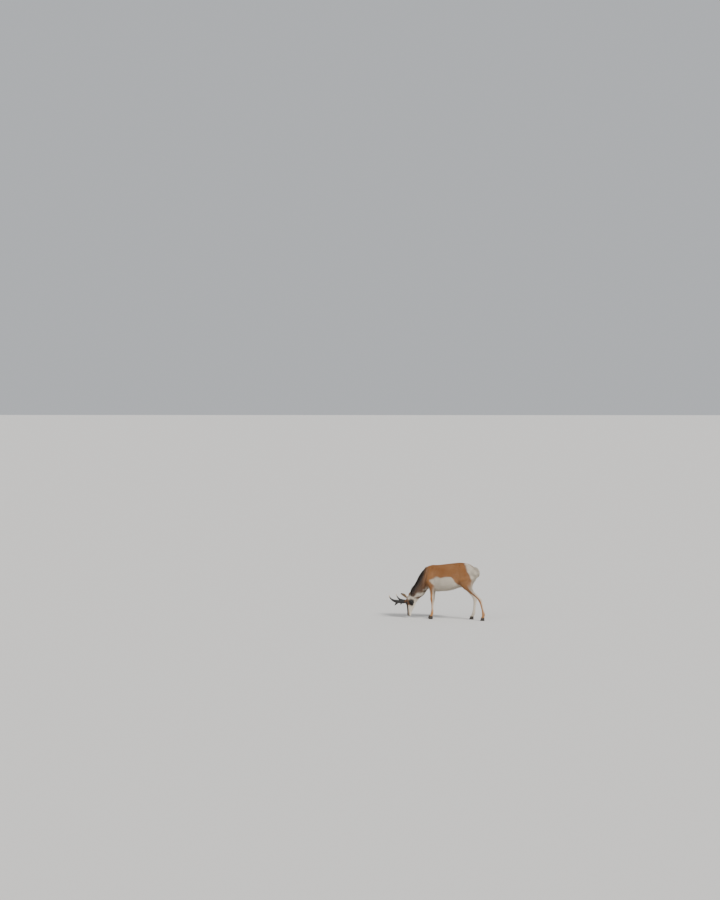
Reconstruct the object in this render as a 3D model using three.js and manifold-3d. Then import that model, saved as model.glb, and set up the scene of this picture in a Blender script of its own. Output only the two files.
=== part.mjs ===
// A life-size pronghorn buck, grazing, as a still display model. Millimetres, +Z up.
// The animal faces -X and its left side faces -Y. Each node of flesh is cut from one whole body by thin
// planar cuts, so neighbours meet face to face across a small gap.
import * as THREE from "three";
import { mergeVertices } from "three/addons/utils/BufferGeometryUtils.js";
import Module from "manifold-3d";

const wasm = await Module();
wasm.setup();

// Driving dimensions
const GAP = 0.3;
const SHOULDER_HEIGHT = 870;
const RUMP_HEIGHT = 915;
const CHEST_DEPTH = 432;
const HALF_BARREL = 148;
const BREAST_X = -402;
const WITHERS_X = -285;
const BUTTOCK_X = 462;
const NECK_CUT_X = -391;
const HEAD_LENGTH = 335;
const HEAD_DEPTH = 172;
const HEAD_HALF_WIDTH = 66;
const HEAD_PITCH = 90;
const HEAD_YAW = 15;
const ATLAS = new THREE.Vector3(-640, 10, 345);
const EYE_RADIUS = 22.5;
const LID_THICKNESS = 3;
const HORN_HEIGHT = 262;
const EAR_LENGTH = 138;
const CORONET_HEIGHT = 44;
const CLAW_LENGTH = 66;
const CLAW_WIDTH = 21;
const MANE_LOCKS = 30;
const MANE_START = 0.26;
const MANE_END = 0.88;
const MANE_COLUMNS = [0, 0.58, -0.3, 0.3, -0.58];
const LOCK_LENGTH = 92;
const LOCK_WIDTH = 34;
const LOCK_THICKNESS = 6;
const LOCK_ROOT_DEPTH = 9;

// Materials
const finish = (color, roughness) => new THREE.MeshStandardMaterial({ color, roughness, metalness: 0 });
const FINISH = {
  tan: finish(0x9a6230, 0.9),
  cream: finish(0xd8cbb4, 0.9),
  dark: finish(0x3a2a1c, 0.9),
  eye: finish(0x120c08, 0.15),
  horn: finish(0x1c1714, 0.5),
  hoof: finish(0x241d18, 0.45),
};

const vec = (x, y, z) => new THREE.Vector3(x, y, z);
const LEFT = vec(0, -1, 0);
const UP = vec(0, 0, 1);
const FRONT = vec(-1, 0, 0);

// A repeatable stream of random numbers from 0 to 1.
function randomStream(seed) {
  let state = seed;
  return () => {
    state = (state * 1664525 + 1013904223) % 4294967296;
    return state / 4294967296;
  };
}

// Rows of numbers joined smoothly: at(t) gives the row at t, from 0 at the first row to 1 at the last.
function smoothRows(rows) {
  const last = rows.length - 1;
  return (t) => {
    const place = Math.min(Math.max(t, 0), 1) * last;
    const i = Math.min(Math.floor(place), last - 1);
    const s = place - i;
    const [p, q, r, n] = [rows[Math.max(i - 1, 0)], rows[i], rows[i + 1], rows[Math.min(i + 2, last)]];
    return q.map((value, k) => {
      const a = (r[k] - p[k]) / 2;
      const b = (n[k] - q[k]) / 2;
      const c = r[k] - value;
      return value + s * (a + s * (3 * c - 2 * a - b + s * (a + b - 2 * c)));
    });
  };
}

// A closed mesh of rings of points, each end closed by a fan round its middle.
function skinRings(rings) {
  const sides = rings[0].length;
  const points = rings.flat();
  const middle = (ring) => ring.reduce((sum, p) => sum.add(p), vec(0, 0, 0)).divideScalar(sides);
  points.push(middle(rings[0]), middle(rings[rings.length - 1]));
  const faces = [];
  const [first, end] = [points.length - 2, points.length - 1];
  const base = (rings.length - 1) * sides;
  for (let k = 0; k < sides; k++) {
    const next = (k + 1) % sides;
    for (let i = 0; i < rings.length - 1; i++) {
      const [a, b] = [i * sides + k, i * sides + next];
      faces.push(a, b, b + sides, a, b + sides, a + sides);
    }
    faces.push(first, next, k, end, base + k, base + next);
  }
  return { points, faces };
}

// A manifold solid from a closed mesh, turned so that its faces point outwards.
function solidFrom({ points, faces }) {
  let volume = 0;
  for (let i = 0; i < faces.length; i += 3) {
    const [a, b, c] = [points[faces[i]], points[faces[i + 1]], points[faces[i + 2]]];
    volume += a.dot(b.clone().cross(c));
  }
  const turned = volume < 0 ? [...faces].reverse() : faces;
  const vertProperties = new Float32Array(points.flatMap((p) => [p.x, p.y, p.z]));
  return new wasm.Manifold(new wasm.Mesh({ numProp: 3, vertProperties, triVerts: new Uint32Array(turned) }));
}

// A three.js geometry as a manifold solid.
function solidFromGeometry(geometry) {
  geometry.deleteAttribute("normal");
  geometry.deleteAttribute("uv");
  const merged = mergeVertices(geometry, 1e-4);
  const position = merged.attributes.position;
  const points = [];
  for (let i = 0; i < position.count; i++) {
    points.push(new THREE.Vector3().fromBufferAttribute(position, i));
  }
  return solidFrom({ points, faces: [...merged.index.array] });
}

const signedPower = (value, power) => Math.sign(value) * Math.abs(value) ** power;

// A section of a body: its middle, the way up, the way to the side, how far it reaches up, down and to each
// side, and how square it is (2 is an ellipse).
function section(middle, up, side, reachUp, reachDown, reachSide, square = 2) {
  return [...middle.toArray(), ...up.toArray(), ...side.toArray(), reachUp, reachDown, reachSide, square];
}

function sectionRing(row, sides, scale = 1, shift = vec(0, 0, 0)) {
  const middle = vec(row[0], row[1], row[2]).add(shift);
  const up = vec(row[3], row[4], row[5]).normalize();
  const side = vec(row[6], row[7], row[8]).normalize();
  const [reachUp, reachDown, reachSide, square] = row.slice(9);
  return Array.from({ length: sides }, (_, k) => {
    const angle = (2 * Math.PI * (k + 0.5)) / sides;
    const rise = signedPower(Math.cos(angle), 2 / square);
    const spread = signedPower(Math.sin(angle), 2 / square);
    return middle
      .clone()
      .addScaledVector(up, rise * (rise > 0 ? reachUp : reachDown) * scale)
      .addScaledVector(side, spread * reachSide * scale);
  });
}

// A body through sections. Each end may be rounded off over a given length.
function loft(sections, { steps, sides, roundStart = 0, roundEnd = 0, roundSteps = 4, shape = null }) {
  const at = smoothRows(sections);
  const rings = [];
  const rounded = (t, length) => {
    const row = at(t);
    const inner = at(t + (t > 0 ? -0.01 : 0.01));
    const out = vec(row[0] - inner[0], row[1] - inner[1], row[2] - inner[2]).normalize();
    return (step) => {
      const angle = ((step / (roundSteps + 0.35)) * Math.PI) / 2;
      return sectionRing(row, sides, Math.cos(angle), out.clone().multiplyScalar(length * Math.sin(angle)));
    };
  };
  if (roundStart) {
    const ring = rounded(0, roundStart);
    for (let s = roundSteps; s > 0; s--) rings.push(ring(s));
  }
  for (let i = 0; i <= steps; i++) rings.push(sectionRing(at(i / steps), sides));
  if (roundEnd) {
    const ring = rounded(1, roundEnd);
    for (let s = 1; s <= roundSteps; s++) rings.push(ring(s));
  }
  if (shape) rings.forEach((ring) => ring.forEach((p) => shape(p)));
  return solidFrom(skinRings(rings));
}

// A soft swelling or hollow: points near its middle move along its push.
function swelling(middle, reach, push) {
  return (p) => {
    const away = vec(
      (p.x - middle.x) / reach.x,
      (p.y - middle.y) / reach.y,
      (p.z - middle.z) / reach.z,
    ).lengthSq();
    p.addScaledVector(push, Math.exp(-away));
  };
}

// The same swelling on both sides of the body.
function pairedSwelling(middle, reach, push) {
  const left = swelling(middle, reach, push);
  const right = swelling(vec(middle.x, -middle.y, middle.z), reach, vec(push.x, -push.y, push.z));
  return (p) => {
    left(p);
    right(p);
  };
}

// A large block on one side of a plane, for cutting. The plane passes through a point, and the block lies
// on the side that the normal points to.
function halfSpace(point, normal) {
  const size = 4000;
  const geometry = new THREE.BoxGeometry(size, size, size);
  geometry.translate(0, 0, size / 2);
  geometry.applyQuaternion(new THREE.Quaternion().setFromUnitVectors(UP, normal.clone().normalize()));
  geometry.translate(point.x, point.y, point.z);
  return solidFromGeometry(geometry);
}

const largest = (solid) =>
  solid.decompose().reduce((best, part) => (part.volume() > best.volume() ? part : best));

// Parts a solid by a plane into what the normal points to and the rest, with the gap between them.
function part(solid, point, normal) {
  const n = normal.clone().normalize();
  const ahead = point.clone().addScaledVector(n, GAP / 2);
  const behind = point.clone().addScaledVector(n, -GAP / 2);
  return [solid.intersect(halfSpace(ahead, n)), solid.subtract(halfSpace(behind, n))];
}

const joinAll = (solids) => solids.reduce((sum, solid) => sum.add(solid));

// Torso: upright sections from the breast to the buttocks, as x, top, bottom and half width
const bellyZ = SHOULDER_HEIGHT - CHEST_DEPTH;
const TORSO_ROWS = [
  [BREAST_X, 720, 545, 48],
  [-375, 815, 505, 82],
  [-335, 858, 480, 102],
  [WITHERS_X, SHOULDER_HEIGHT, 456, 114],
  [-200, 871, bellyZ, 128],
  [-100, 884, bellyZ + 2, 143],
  [0, 897, 452, HALF_BARREL],
  [90, 909, 478, 144],
  [160, RUMP_HEIGHT, 503, 135],
  [240, 911, 530, 130],
  [318, 893, 562, 122],
  [380, 858, 600, 106],
  [422, 815, 640, 84],
  [BUTTOCK_X - 16, 774, 680, 58],
];

function makeTorso(grow = 0) {
  const sections = TORSO_ROWS.map(([x, top, bottom, halfWidth]) => {
    const middle = bottom + 0.47 * (top - bottom);
    const [reachUp, reachDown] = [top - middle + grow, middle - bottom + grow];
    return section(vec(x, 0, middle), UP, LEFT, reachUp, reachDown, halfWidth + grow, 2.15);
  });
  const shoulderBlade = pairedSwelling(vec(-318, -110, 700), vec(62, 90, 120), vec(-4, -15, 0));
  const upperArm = pairedSwelling(vec(-335, -110, 600), vec(60, 80, 60), vec(-10, -16, 0));
  const haunch = pairedSwelling(vec(330, -110, 760), vec(110, 90, 110), vec(0, -13, 0));
  const hipBone = pairedSwelling(vec(205, -100, 868), vec(40, 50, 34), vec(0, -9, 3));
  const flankHollow = pairedSwelling(vec(150, -130, 690), vec(70, 80, 90), vec(0, 15, 0));
  const waistHollow = pairedSwelling(vec(-205, -120, 690), vec(45, 80, 120), vec(0, 7, 0));
  const seat = pairedSwelling(vec(440, -70, 730), vec(60, 50, 80), vec(12, -14, 0));
  const swellings = [shoulderBlade, upperArm, haunch, hipBone, flankHollow, waistHollow, seat];
  return loft(sections, {
    steps: 24,
    sides: 26,
    roundStart: 10,
    roundEnd: 15 + grow,
    shape: (p) => swellings.forEach((swell) => swell(p)),
  });
}

// Neck: sections given by a point on the nape, a point on the throat and a half width
const NECK_ROWS = [
  [-250, 864, -250, 520, 86],
  [-330, 862, -325, 492, 99],
  [-388, 842, -368, 480, 100],
  [-446, 778, -388, 452, 96],
  [-508, 676, -405, 418, 90],
  [-553, 592, -430, 380, 84],
  [-597, 520, -465, 347, 79],
  [-643, 453, -505, 315, 74],
  [-682, 386, -540, 280, 68],
  [-690, 345, -560, 255, 58],
];

function neckSections() {
  const { y: sway } = ATLAS;
  return NECK_ROWS.map(([napeX, napeZ, throatX, throatZ, halfWidth], i) => {
    const share = Math.max(i - 3, 0) / (NECK_ROWS.length - 4);
    const nape = vec(napeX, sway * share, napeZ);
    const throat = vec(throatX, sway * share, throatZ);
    const middle = nape.clone().lerp(throat, 0.52);
    const up = nape.clone().sub(throat).normalize();
    const side = LEFT.clone().applyAxisAngle(UP, -THREE.MathUtils.degToRad(HEAD_YAW) * share);
    const [reachUp, reachDown] = [middle.distanceTo(nape), middle.distanceTo(throat)];
    return section(middle, up, side, reachUp, reachDown, halfWidth, 2.1);
  });
}

function makeNeck() {
  return loft(neckSections(), { steps: 15, sides: 22 });
}

// Head frame: forward along the face to the muzzle, dorsal out of the forehead, lateral to the animal's left.
// Its origin is on the face line above the back of the skull.
const headTurn = new THREE.Quaternion()
  .setFromAxisAngle(UP, -THREE.MathUtils.degToRad(HEAD_YAW))
  .multiply(new THREE.Quaternion().setFromAxisAngle(vec(0, 1, 0), -THREE.MathUtils.degToRad(HEAD_PITCH)));
const FORWARD = FRONT.clone().applyQuaternion(headTurn);
const DORSAL = UP.clone().applyQuaternion(headTurn);
const LATERAL = LEFT.clone().applyQuaternion(headTurn);
const HEAD_ORIGIN = ATLAS.clone().addScaledVector(FORWARD, -20).addScaledVector(DORSAL, 95);

function headPoint(forward, dorsal, lateral) {
  return HEAD_ORIGIN.clone()
    .addScaledVector(FORWARD, forward)
    .addScaledVector(DORSAL, dorsal)
    .addScaledVector(LATERAL, lateral);
}

function headDirection(forward, dorsal, lateral) {
  return headPoint(forward, dorsal, lateral).sub(HEAD_ORIGIN).normalize();
}

// Head: sections across the face as share of its length, top, bottom and half width, in the head frame
const HEAD_ROWS = [
  [0.0, -46, -140, 46],
  [0.08, -22, -160, 58],
  [0.18, -2, -HEAD_DEPTH, HEAD_HALF_WIDTH - 2],
  [0.29, 6, -HEAD_DEPTH + 1, HEAD_HALF_WIDTH],
  [0.39, 2, -168, HEAD_HALF_WIDTH - 4],
  [0.49, -5, -154, 53],
  [0.59, -10, -135, 43],
  [0.69, -13, -115, 36],
  [0.79, -15, -99, 32],
  [0.89, -17, -86, 30.5],
  [0.955, -24, -80, 28],
];
const EYE = { forward: 122, dorsal: -36, lateral: 46 };
const HORN_BASE = { forward: 104, dorsal: 2, lateral: 43 };
const EAR_BASE = { forward: 36, dorsal: -34, lateral: 52 };

function headSwelling(place, reach, forward, dorsal, lateral) {
  return [1, -1].map((hand) => {
    const middle = headPoint(place[0], place[1], hand * place[2]);
    const push = headPoint(forward, dorsal, hand * lateral).sub(HEAD_ORIGIN);
    return (p) => p.addScaledVector(push, Math.exp(-p.distanceToSquared(middle) / reach ** 2));
  });
}

function makeSkull() {
  const sections = HEAD_ROWS.map(([share, top, bottom, halfWidth]) => {
    const middle = bottom + 0.56 * (top - bottom);
    const at = headPoint(share * HEAD_LENGTH, middle, 0);
    return section(at, DORSAL, LATERAL, top - middle, middle - bottom, halfWidth, 2.3);
  });
  const swellings = [
    ...headSwelling([EYE.forward - 2, EYE.dorsal + 20, 62], 24, 0, 4, 7),
    ...headSwelling([EYE.forward + 4, EYE.dorsal - 30, 66], 26, 0, 0, -7),
    ...headSwelling([EYE.forward + 44, EYE.dorsal + 4, 58], 26, 0, 0, -8),
    ...headSwelling([92, -118, 62], 40, 0, 0, 5),
    ...headSwelling([175, -100, 52], 34, 0, 0, -6),
    ...headSwelling([300, -34, 30], 17, 0, 2, 4.5),
    ...headSwelling([292, -74, 30], 16, 0, 0, 3),
    ...headSwelling([250, -88, 34], 22, 0, 0, -4),
    ...headSwelling([52, -60, 60], 30, 0, 0, -6),
  ];
  return loft(sections, {
    steps: 24,
    sides: 24,
    roundEnd: 15,
    shape: (p) => swellings.forEach((swell) => swell(p)),
  });
}

// A round ball in rings that are closest at its poles, which point along an axis.
function ball(middle, radius, axis, rings, sides) {
  const geometry = new THREE.SphereGeometry(radius, sides, rings);
  geometry.applyQuaternion(new THREE.Quaternion().setFromUnitVectors(vec(0, 1, 0), axis));
  geometry.translate(middle.x, middle.y, middle.z);
  return solidFromGeometry(geometry);
}

const eyeAt = (hand) => headPoint(EYE.forward, EYE.dorsal, hand * EYE.lateral);
const eyeOut = (hand) => headDirection(0.1, 0.16, hand);

// The almond between the lids, a prism that points out along the eye's axis.
function lidOpening(hand) {
  const out = eyeOut(hand);
  const along = headDirection(1, -0.22, 0);
  const across = out.clone().cross(along).normalize();
  const [halfLength, halfHeight, corners] = [19.5, 13, 16];
  const outline = (depth, grow) =>
    Array.from({ length: corners }, (_, k) => {
      const angle = (2 * Math.PI * k) / corners;
      const lean = 1 - 0.28 * Math.cos(angle) ** 2;
      return eyeAt(hand)
        .addScaledVector(along, halfLength * grow * Math.cos(angle))
        .addScaledVector(across, halfHeight * grow * lean * Math.sin(angle))
        .addScaledVector(out, depth);
    });
  return solidFrom(skinRings([outline(6, 0.85), outline(60, 1.3)]));
}

// A lid fold: the ball of the lids, thicker along the brow.
function lidBall(hand) {
  const centre = eyeAt(hand);
  return ball(centre, EYE_RADIUS + LID_THICKNESS, eyeOut(hand), 9, 16);
}

// A nostril: a slanting comma that narrows as it runs up and back.
function makeNostril(hand) {
  const rows = [
    section(headPoint(326, -52, hand * 9), DORSAL, LATERAL, 5, 4, 4),
    section(headPoint(322, -46, hand * 15), DORSAL, LATERAL, 6, 6, 5),
    section(headPoint(315, -37, hand * 22), DORSAL, LATERAL, 4.5, 5, 5),
    section(headPoint(308, -30, hand * 31), DORSAL, LATERAL, 2, 2.5, 5),
  ];
  return loft(rows, { steps: 6, sides: 10 });
}

// The line of the mouth on one side: a thin slit that runs back from under the nose and sags at its corner.
function makeMouthLine(hand) {
  const [slit, depth] = [1.1, 7];
  const line = [
    [346, -66, 0, 3],
    [330, -67, 24, 1],
    [305, -66, 34, 1],
    [278, -68, 36, 1],
    [256, -76, 38, 1],
  ];
  const rows = line.map(([forward, dorsal, lateral]) =>
    section(headPoint(forward, dorsal, hand * lateral), DORSAL, LATERAL, slit, slit, depth, 2),
  );
  return loft(rows, { steps: 10, sides: 6 });
}

// Ear: a leaf that is hollowed from its open side. The base is sunk in the head and the node starts at a cut.
function earFrame(hand) {
  const along = headDirection(-0.56, 0.36, hand * 0.78);
  const open = headDirection(0.62, -0.1, hand * 0.58);
  const across = along.clone().cross(open).normalize();
  const face = across.clone().cross(along).normalize();
  const base = headPoint(EAR_BASE.forward, EAR_BASE.dorsal, hand * EAR_BASE.lateral);
  return { along, across, face, base };
}

function earLeaf(hand, thin, rows, settings) {
  const { along, across, face, base } = earFrame(hand);
  const sections = rows.map(([reach, back, front, halfWidth]) => {
    const bend = 12 * Math.sin((Math.PI * Math.max(reach, 0)) / EAR_LENGTH);
    const at = base.clone().addScaledVector(along, reach).addScaledVector(face, thin - bend);
    return section(at, face, across, front, back, halfWidth, 2);
  });
  return loft(sections, settings);
}

function makeEar(hand) {
  const outer = earLeaf(
    hand,
    0,
    [
      [-22, 14, 12, 14],
      [6, 15, 13, 16],
      [34, 17, 12, 25],
      [66, 16, 10, 29],
      [96, 12, 8, 24],
      [120, 8, 5, 14],
      [EAR_LENGTH - 3, 3, 2, 4],
    ],
    { steps: 12, sides: 14, roundEnd: 3, roundSteps: 2 },
  );
  const inner = earLeaf(
    hand,
    3,
    [
      [20, 5, 24, 5],
      [34, 14, 28, 17],
      [66, 14, 28, 24],
      [96, 10, 24, 19],
      [116, 6, 18, 10],
      [127, 2, 12, 3],
    ],
    { steps: 9, sides: 10 },
  );
  return outer.subtract(inner);
}

// Horn: a flat blade that rises, spreads and hooks back, with a broad prong to the front.
const HORN_ROWS = [
  [-22, 0.0, 43, 27, 17],
  [0, 0.0, 43, 30, 18.5],
  [0.14, 2, 52, 29, 17],
  [0.34, 2, 67, 28, 15],
  [0.54, -3, 83, 27, 14],
  [0.7, -14, 97, 22, 12.5],
  [0.84, -36, 108, 14.5, 10.5],
  [0.95, -66, 112, 9.5, 8],
  [1.0, -96, 108, 4.5, 4.2],
];

function hornSections(hand) {
  const spots = HORN_ROWS.map(([rise, back, lateral], i) => {
    const dorsal = i === 0 ? rise : rise * HORN_HEIGHT;
    return headPoint(HORN_BASE.forward + back, HORN_BASE.dorsal + dorsal, hand * lateral);
  });
  return HORN_ROWS.map(([, , , halfLength, halfWidth], i) => {
    const tangent = spots[Math.min(i + 1, spots.length - 1)].clone().sub(spots[Math.max(i - 1, 0)]).normalize();
    const front = FORWARD.clone().addScaledVector(tangent, -FORWARD.dot(tangent)).normalize();
    const side = tangent.clone().cross(front).normalize();
    return section(spots[i], front, side, halfLength, halfLength * 0.92, halfWidth, 2);
  });
}

function makeHorn(hand) {
  const blade = loft(hornSections(hand), { steps: 18, sides: 12, roundEnd: 5, roundSteps: 2 });
  const root = 0.5 * HORN_HEIGHT;
  const prong = loft(
    [
      section(headPoint(100, root - 16, hand * 78), DORSAL, LATERAL, 40, 42, 12),
      section(headPoint(122, root - 2, hand * 81), DORSAL, LATERAL, 32, 34, 12),
      section(headPoint(146, root + 16, hand * 85), DORSAL, LATERAL, 19, 23, 10),
      section(headPoint(168, root + 38, hand * 89), DORSAL, LATERAL, 6, 10, 6),
    ],
    { steps: 7, sides: 12, roundEnd: 6, roundSteps: 2 },
  );
  return blade.add(prong);
}

// Legs: level sections as height, middle x, reach to the front, reach to the back, middle y and half width
const FORELEG_ROWS = [
  [720, -322, 40, 40, 70, 28],
  [665, -322, 58, 60, 80, 38],
  [610, -316, 62, 66, 86, 43],
  [560, -297, 52, 60, 88, 42],
  [515, -284, 42, 46, 86, 37],
  [470, -278, 35, 36, 84, 31],
  [420, -276, 31, 30, 82, 27],
  [370, -275, 27, 26, 80, 24.5],
  [330, -276, 26, 26, 79, 25],
  [300, -275, 24, 25, 79, 24],
  [265, -273, 18, 20, 78, 19],
  [215, -272, 15, 18, 78, 16],
  [160, -271, 15, 18, 77, 16],
  [120, -271, 19, 22, 77, 19],
  [95, -273, 20, 22, 77, 20.5],
  [70, -280, 20, 20, 77, 20],
  [50, -290, 26, 26, 77, 22.5],
  [26, -297, 26, 28, 77, 20],
];
const HINDLEG_ROWS = [
  [790, 322, 60, 70, 54, 26],
  [738, 318, 104, 108, 70, 45],
  [680, 300, 124, 122, 85, 57],
  [620, 277, 122, 118, 92, 60],
  [565, 265, 96, 102, 96, 53],
  [520, 272, 74, 76, 97, 45],
  [475, 300, 58, 58, 96, 38],
  [430, 340, 44, 46, 94, 31],
  [390, 378, 36, 40, 92, 26],
  [355, 410, 33, 37, 90, 25],
  [325, 424, 29, 33, 89, 24],
  [290, 430, 23, 25, 88, 20],
  [235, 434, 18, 20, 87, 17],
  [170, 438, 17, 19, 86, 17],
  [125, 441, 21, 23, 85, 20],
  [98, 440, 22, 23, 85, 21],
  [72, 433, 20, 21, 85, 20.5],
  [50, 424, 27, 26, 85, 23],
  [26, 418, 27, 28, 85, 21],
];

// How far each leg swings along X from the rows above: nothing above its pivot, and its reach at the floor
const LEGS = [
  { name: "foreleg_left", rows: FORELEG_ROWS, hand: 1, pivot: 560, reach: 0, fold: 0 },
  { name: "foreleg_right", rows: FORELEG_ROWS, hand: -1, pivot: 560, reach: -54, fold: 0 },
  { name: "hindleg_left", rows: HINDLEG_ROWS, hand: 1, pivot: 640, reach: 146, fold: 22 },
  { name: "hindleg_right", rows: HINDLEG_ROWS, hand: -1, pivot: 640, reach: -92, fold: 12 },
];

function legShift({ pivot, reach, fold }, height) {
  const down = Math.max(pivot - height, 0) / pivot;
  return reach * down + fold * Math.sin(Math.PI * down);
}

function makeLeg(leg, grow = 0) {
  const sections = leg.rows.map(([height, x, front, back, y, halfWidth]) => {
    const middle = vec(x + legShift(leg, height), -leg.hand * y, height);
    return section(middle, FRONT, LEFT, front + grow, back + grow, halfWidth + grow, 2.15);
  });
  return loft(sections, { steps: 30, sides: 14 });
}

// One claw of a hoof: a flat sole, a sloping toe and an upright heel.
function makeClaw(leg, inner) {
  const row = leg.rows[leg.rows.length - 2];
  const middleX = row[1] + legShift(leg, row[0]);
  const side = inner ? -1 : 1;
  const y = -leg.hand * (row[4] + side * (CLAW_WIDTH / 2 + 1.6));
  const levels = [
    [0, 1.0, 0.95],
    [5, 1.04, 1.04],
    [24, 0.93, 1.04],
    [CORONET_HEIGHT + 6, 0.76, 0.98],
  ];
  const rings = levels.map(([z, long, wide]) => {
    const heel = middleX + 0.4 * CLAW_LENGTH * (z > CORONET_HEIGHT ? 0.95 : 1);
    const length = CLAW_LENGTH * long;
    return Array.from({ length: 14 }, (_, k) => {
      const angle = (2 * Math.PI * k) / 14;
      const back = (1 + Math.cos(angle)) / 2;
      const taper = Math.sin(angle) * (0.55 + 0.45 * Math.sqrt(back));
      return vec(heel - length * (1 - back), y + (taper * wide * CLAW_WIDTH) / 2, z);
    });
  });
  return solidFrom(skinRings(rings));
}

// Tail: a short flat brush that hangs from the tail head, clear of the rump.
const TAIL_ROWS = [
  [372, 846, 13, 17, 16],
  [408, 840, 13, 19, 16],
  [440, 822, 13, 22, 15],
  [463, 793, 12, 25, 14],
  [476, 752, 11, 24, 12],
  [480, 722, 6, 13, 7],
];

function makeTail() {
  const spots = TAIL_ROWS.map(([x, z]) => vec(x, 0, z));
  const sections = TAIL_ROWS.map(([, , outer, halfWidth, inner], i) => {
    const tangent = spots[Math.min(i + 1, spots.length - 1)].clone().sub(spots[Math.max(i - 1, 0)]).normalize();
    const out = LEFT.clone().cross(tangent).normalize();
    return section(spots[i], out, LEFT, outer, inner, halfWidth, 2);
  });
  return loft(sections, { steps: 12, sides: 14, roundEnd: 12, roundSteps: 3 });
}

// A mane lock: a flat strip that starts inside the neck, rises from the nape and bends back along it.
function makeLock(root, along, out, side, size, lift, bend) {
  const steps = 3;
  const rings = [];
  for (let i = 0; i <= steps; i++) {
    const t = i / steps;
    const middle = root
      .clone()
      .addScaledVector(along, LOCK_LENGTH * size * t)
      .addScaledVector(side, bend * t * t)
      .addScaledVector(out, lift * Math.sin(Math.min(1.25 * t, 1) * 0.5 * Math.PI) - LOCK_ROOT_DEPTH - 4 * t * t);
    const halfWidth = (LOCK_WIDTH / 2) * size * (1 - 0.84 * t ** 2);
    const halfDepth = (LOCK_THICKNESS / 2) * (1 - 0.6 * t);
    rings.push([
      middle.clone().addScaledVector(side, halfWidth),
      middle.clone().addScaledVector(out, halfDepth),
      middle.clone().addScaledVector(side, -halfWidth),
      middle.clone().addScaledVector(out, -halfDepth),
    ]);
  }
  return solidFrom(skinRings(rings));
}

function makeMane() {
  const at = smoothRows(neckSections());
  const random = randomStream(7);
  const locks = [];
  for (let i = 0; i < MANE_LOCKS; i++) {
    const t = MANE_START + ((MANE_END - MANE_START) * i) / (MANE_LOCKS - 1);
    const row = at(t);
    const before = at(t - 0.01);
    const spread = MANE_COLUMNS[i % MANE_COLUMNS.length] + 0.1 * (random() - 0.5);
    const up = vec(row[3], row[4], row[5]).normalize();
    const side = vec(row[6], row[7], row[8]).normalize();
    const root = vec(row[0], row[1], row[2])
      .addScaledVector(up, row[9] * Math.cos(spread))
      .addScaledVector(side, row[11] * Math.sin(spread));
    const napeBefore = vec(before[0], before[1], before[2]).addScaledVector(
      vec(before[3], before[4], before[5]).normalize(),
      before[9],
    );
    const nape = vec(row[0], row[1], row[2]).addScaledVector(up, row[9]);
    const along = napeBefore.sub(nape).normalize().addScaledVector(side, 0.3 * (random() - 0.5)).normalize();
    const out = up.clone().addScaledVector(along, -up.dot(along)).normalize();
    out.addScaledVector(side, Math.tan(spread)).normalize();
    const across = along.clone().cross(out).normalize();
    const size = 0.85 + 0.3 * random();
    locks.push(makeLock(root, along, out, across, size, 17 + 4 * random(), 12 * (random() - 0.5)));
  }
  return locks;
}

// The whole body of flesh, before it is parted
const ears = { left: makeEar(1), right: makeEar(-1) };
const horns = { left: makeHorn(1), right: makeHorn(-1) };
const legSolids = LEGS.map(makeLeg);
const tail = makeTail();
let skull = makeSkull();
for (const hand of [1, -1]) {
  skull = skull.add(lidBall(hand)).subtract(lidOpening(hand)).subtract(makeNostril(hand));
  skull = skull.subtract(makeMouthLine(hand));
}
let body = joinAll([makeTorso(), makeNeck(), ...legSolids]);

// The neck is what lies ahead of a plane in front of the shoulders, and the head what lies past the poll
const headCutPoint = headPoint(16, -92, 0);
const headCutNormal = headDirection(0.84, 0.42, 0);
const [ahead, trunk] = part(body, vec(NECK_CUT_X, 0, 0), FRONT);
const [, neckOnly] = part(ahead, headCutPoint, headCutNormal);
const [neckInHead] = part(ahead, headCutPoint, headCutNormal);
const [skullOnly] = part(skull, headCutPoint, headCutNormal);
let neck = largest(joinAll([neckOnly, ...makeMane()]).intersect(halfSpace(vec(NECK_CUT_X - GAP, 0, 0), FRONT)));
neck = largest(neck.subtract(halfSpace(headCutPoint, headCutNormal)));

const nodes = new Map();
let head = skullOnly.add(neckInHead);
for (const [side, hand] of [["left", 1], ["right", -1]]) {
  nodes.set(`eye_${side}`, [ball(eyeAt(hand), EYE_RADIUS, eyeOut(hand), 10, 16), FINISH.eye]);
  const { along, base } = earFrame(hand);
  const [earTip, earRoot] = part(ears[side], base.clone().addScaledVector(along, 15), along);
  nodes.set(`ear_${side}`, [largest(earTip), FINISH.tan]);
  const hornBase = headPoint(HORN_BASE.forward, HORN_BASE.dorsal + 9, hand * HORN_BASE.lateral);
  const hornUp = headDirection(0, 1, hand * 0.2);
  const [hornTip, hornRoot] = part(horns[side], hornBase, hornUp);
  nodes.set(`horn_${side}`, [largest(hornTip), FINISH.horn]);
  head = head.add(earRoot).add(hornRoot);
}
for (const hand of [1, -1]) {
  head = head.subtract(ball(eyeAt(hand), EYE_RADIUS + 2 * GAP, eyeOut(hand), 10, 16)).subtract(lidOpening(hand));
}
nodes.set("head", [largest(head), FINISH.dark]);
nodes.set("neck", [neck, FINISH.dark]);

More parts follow.
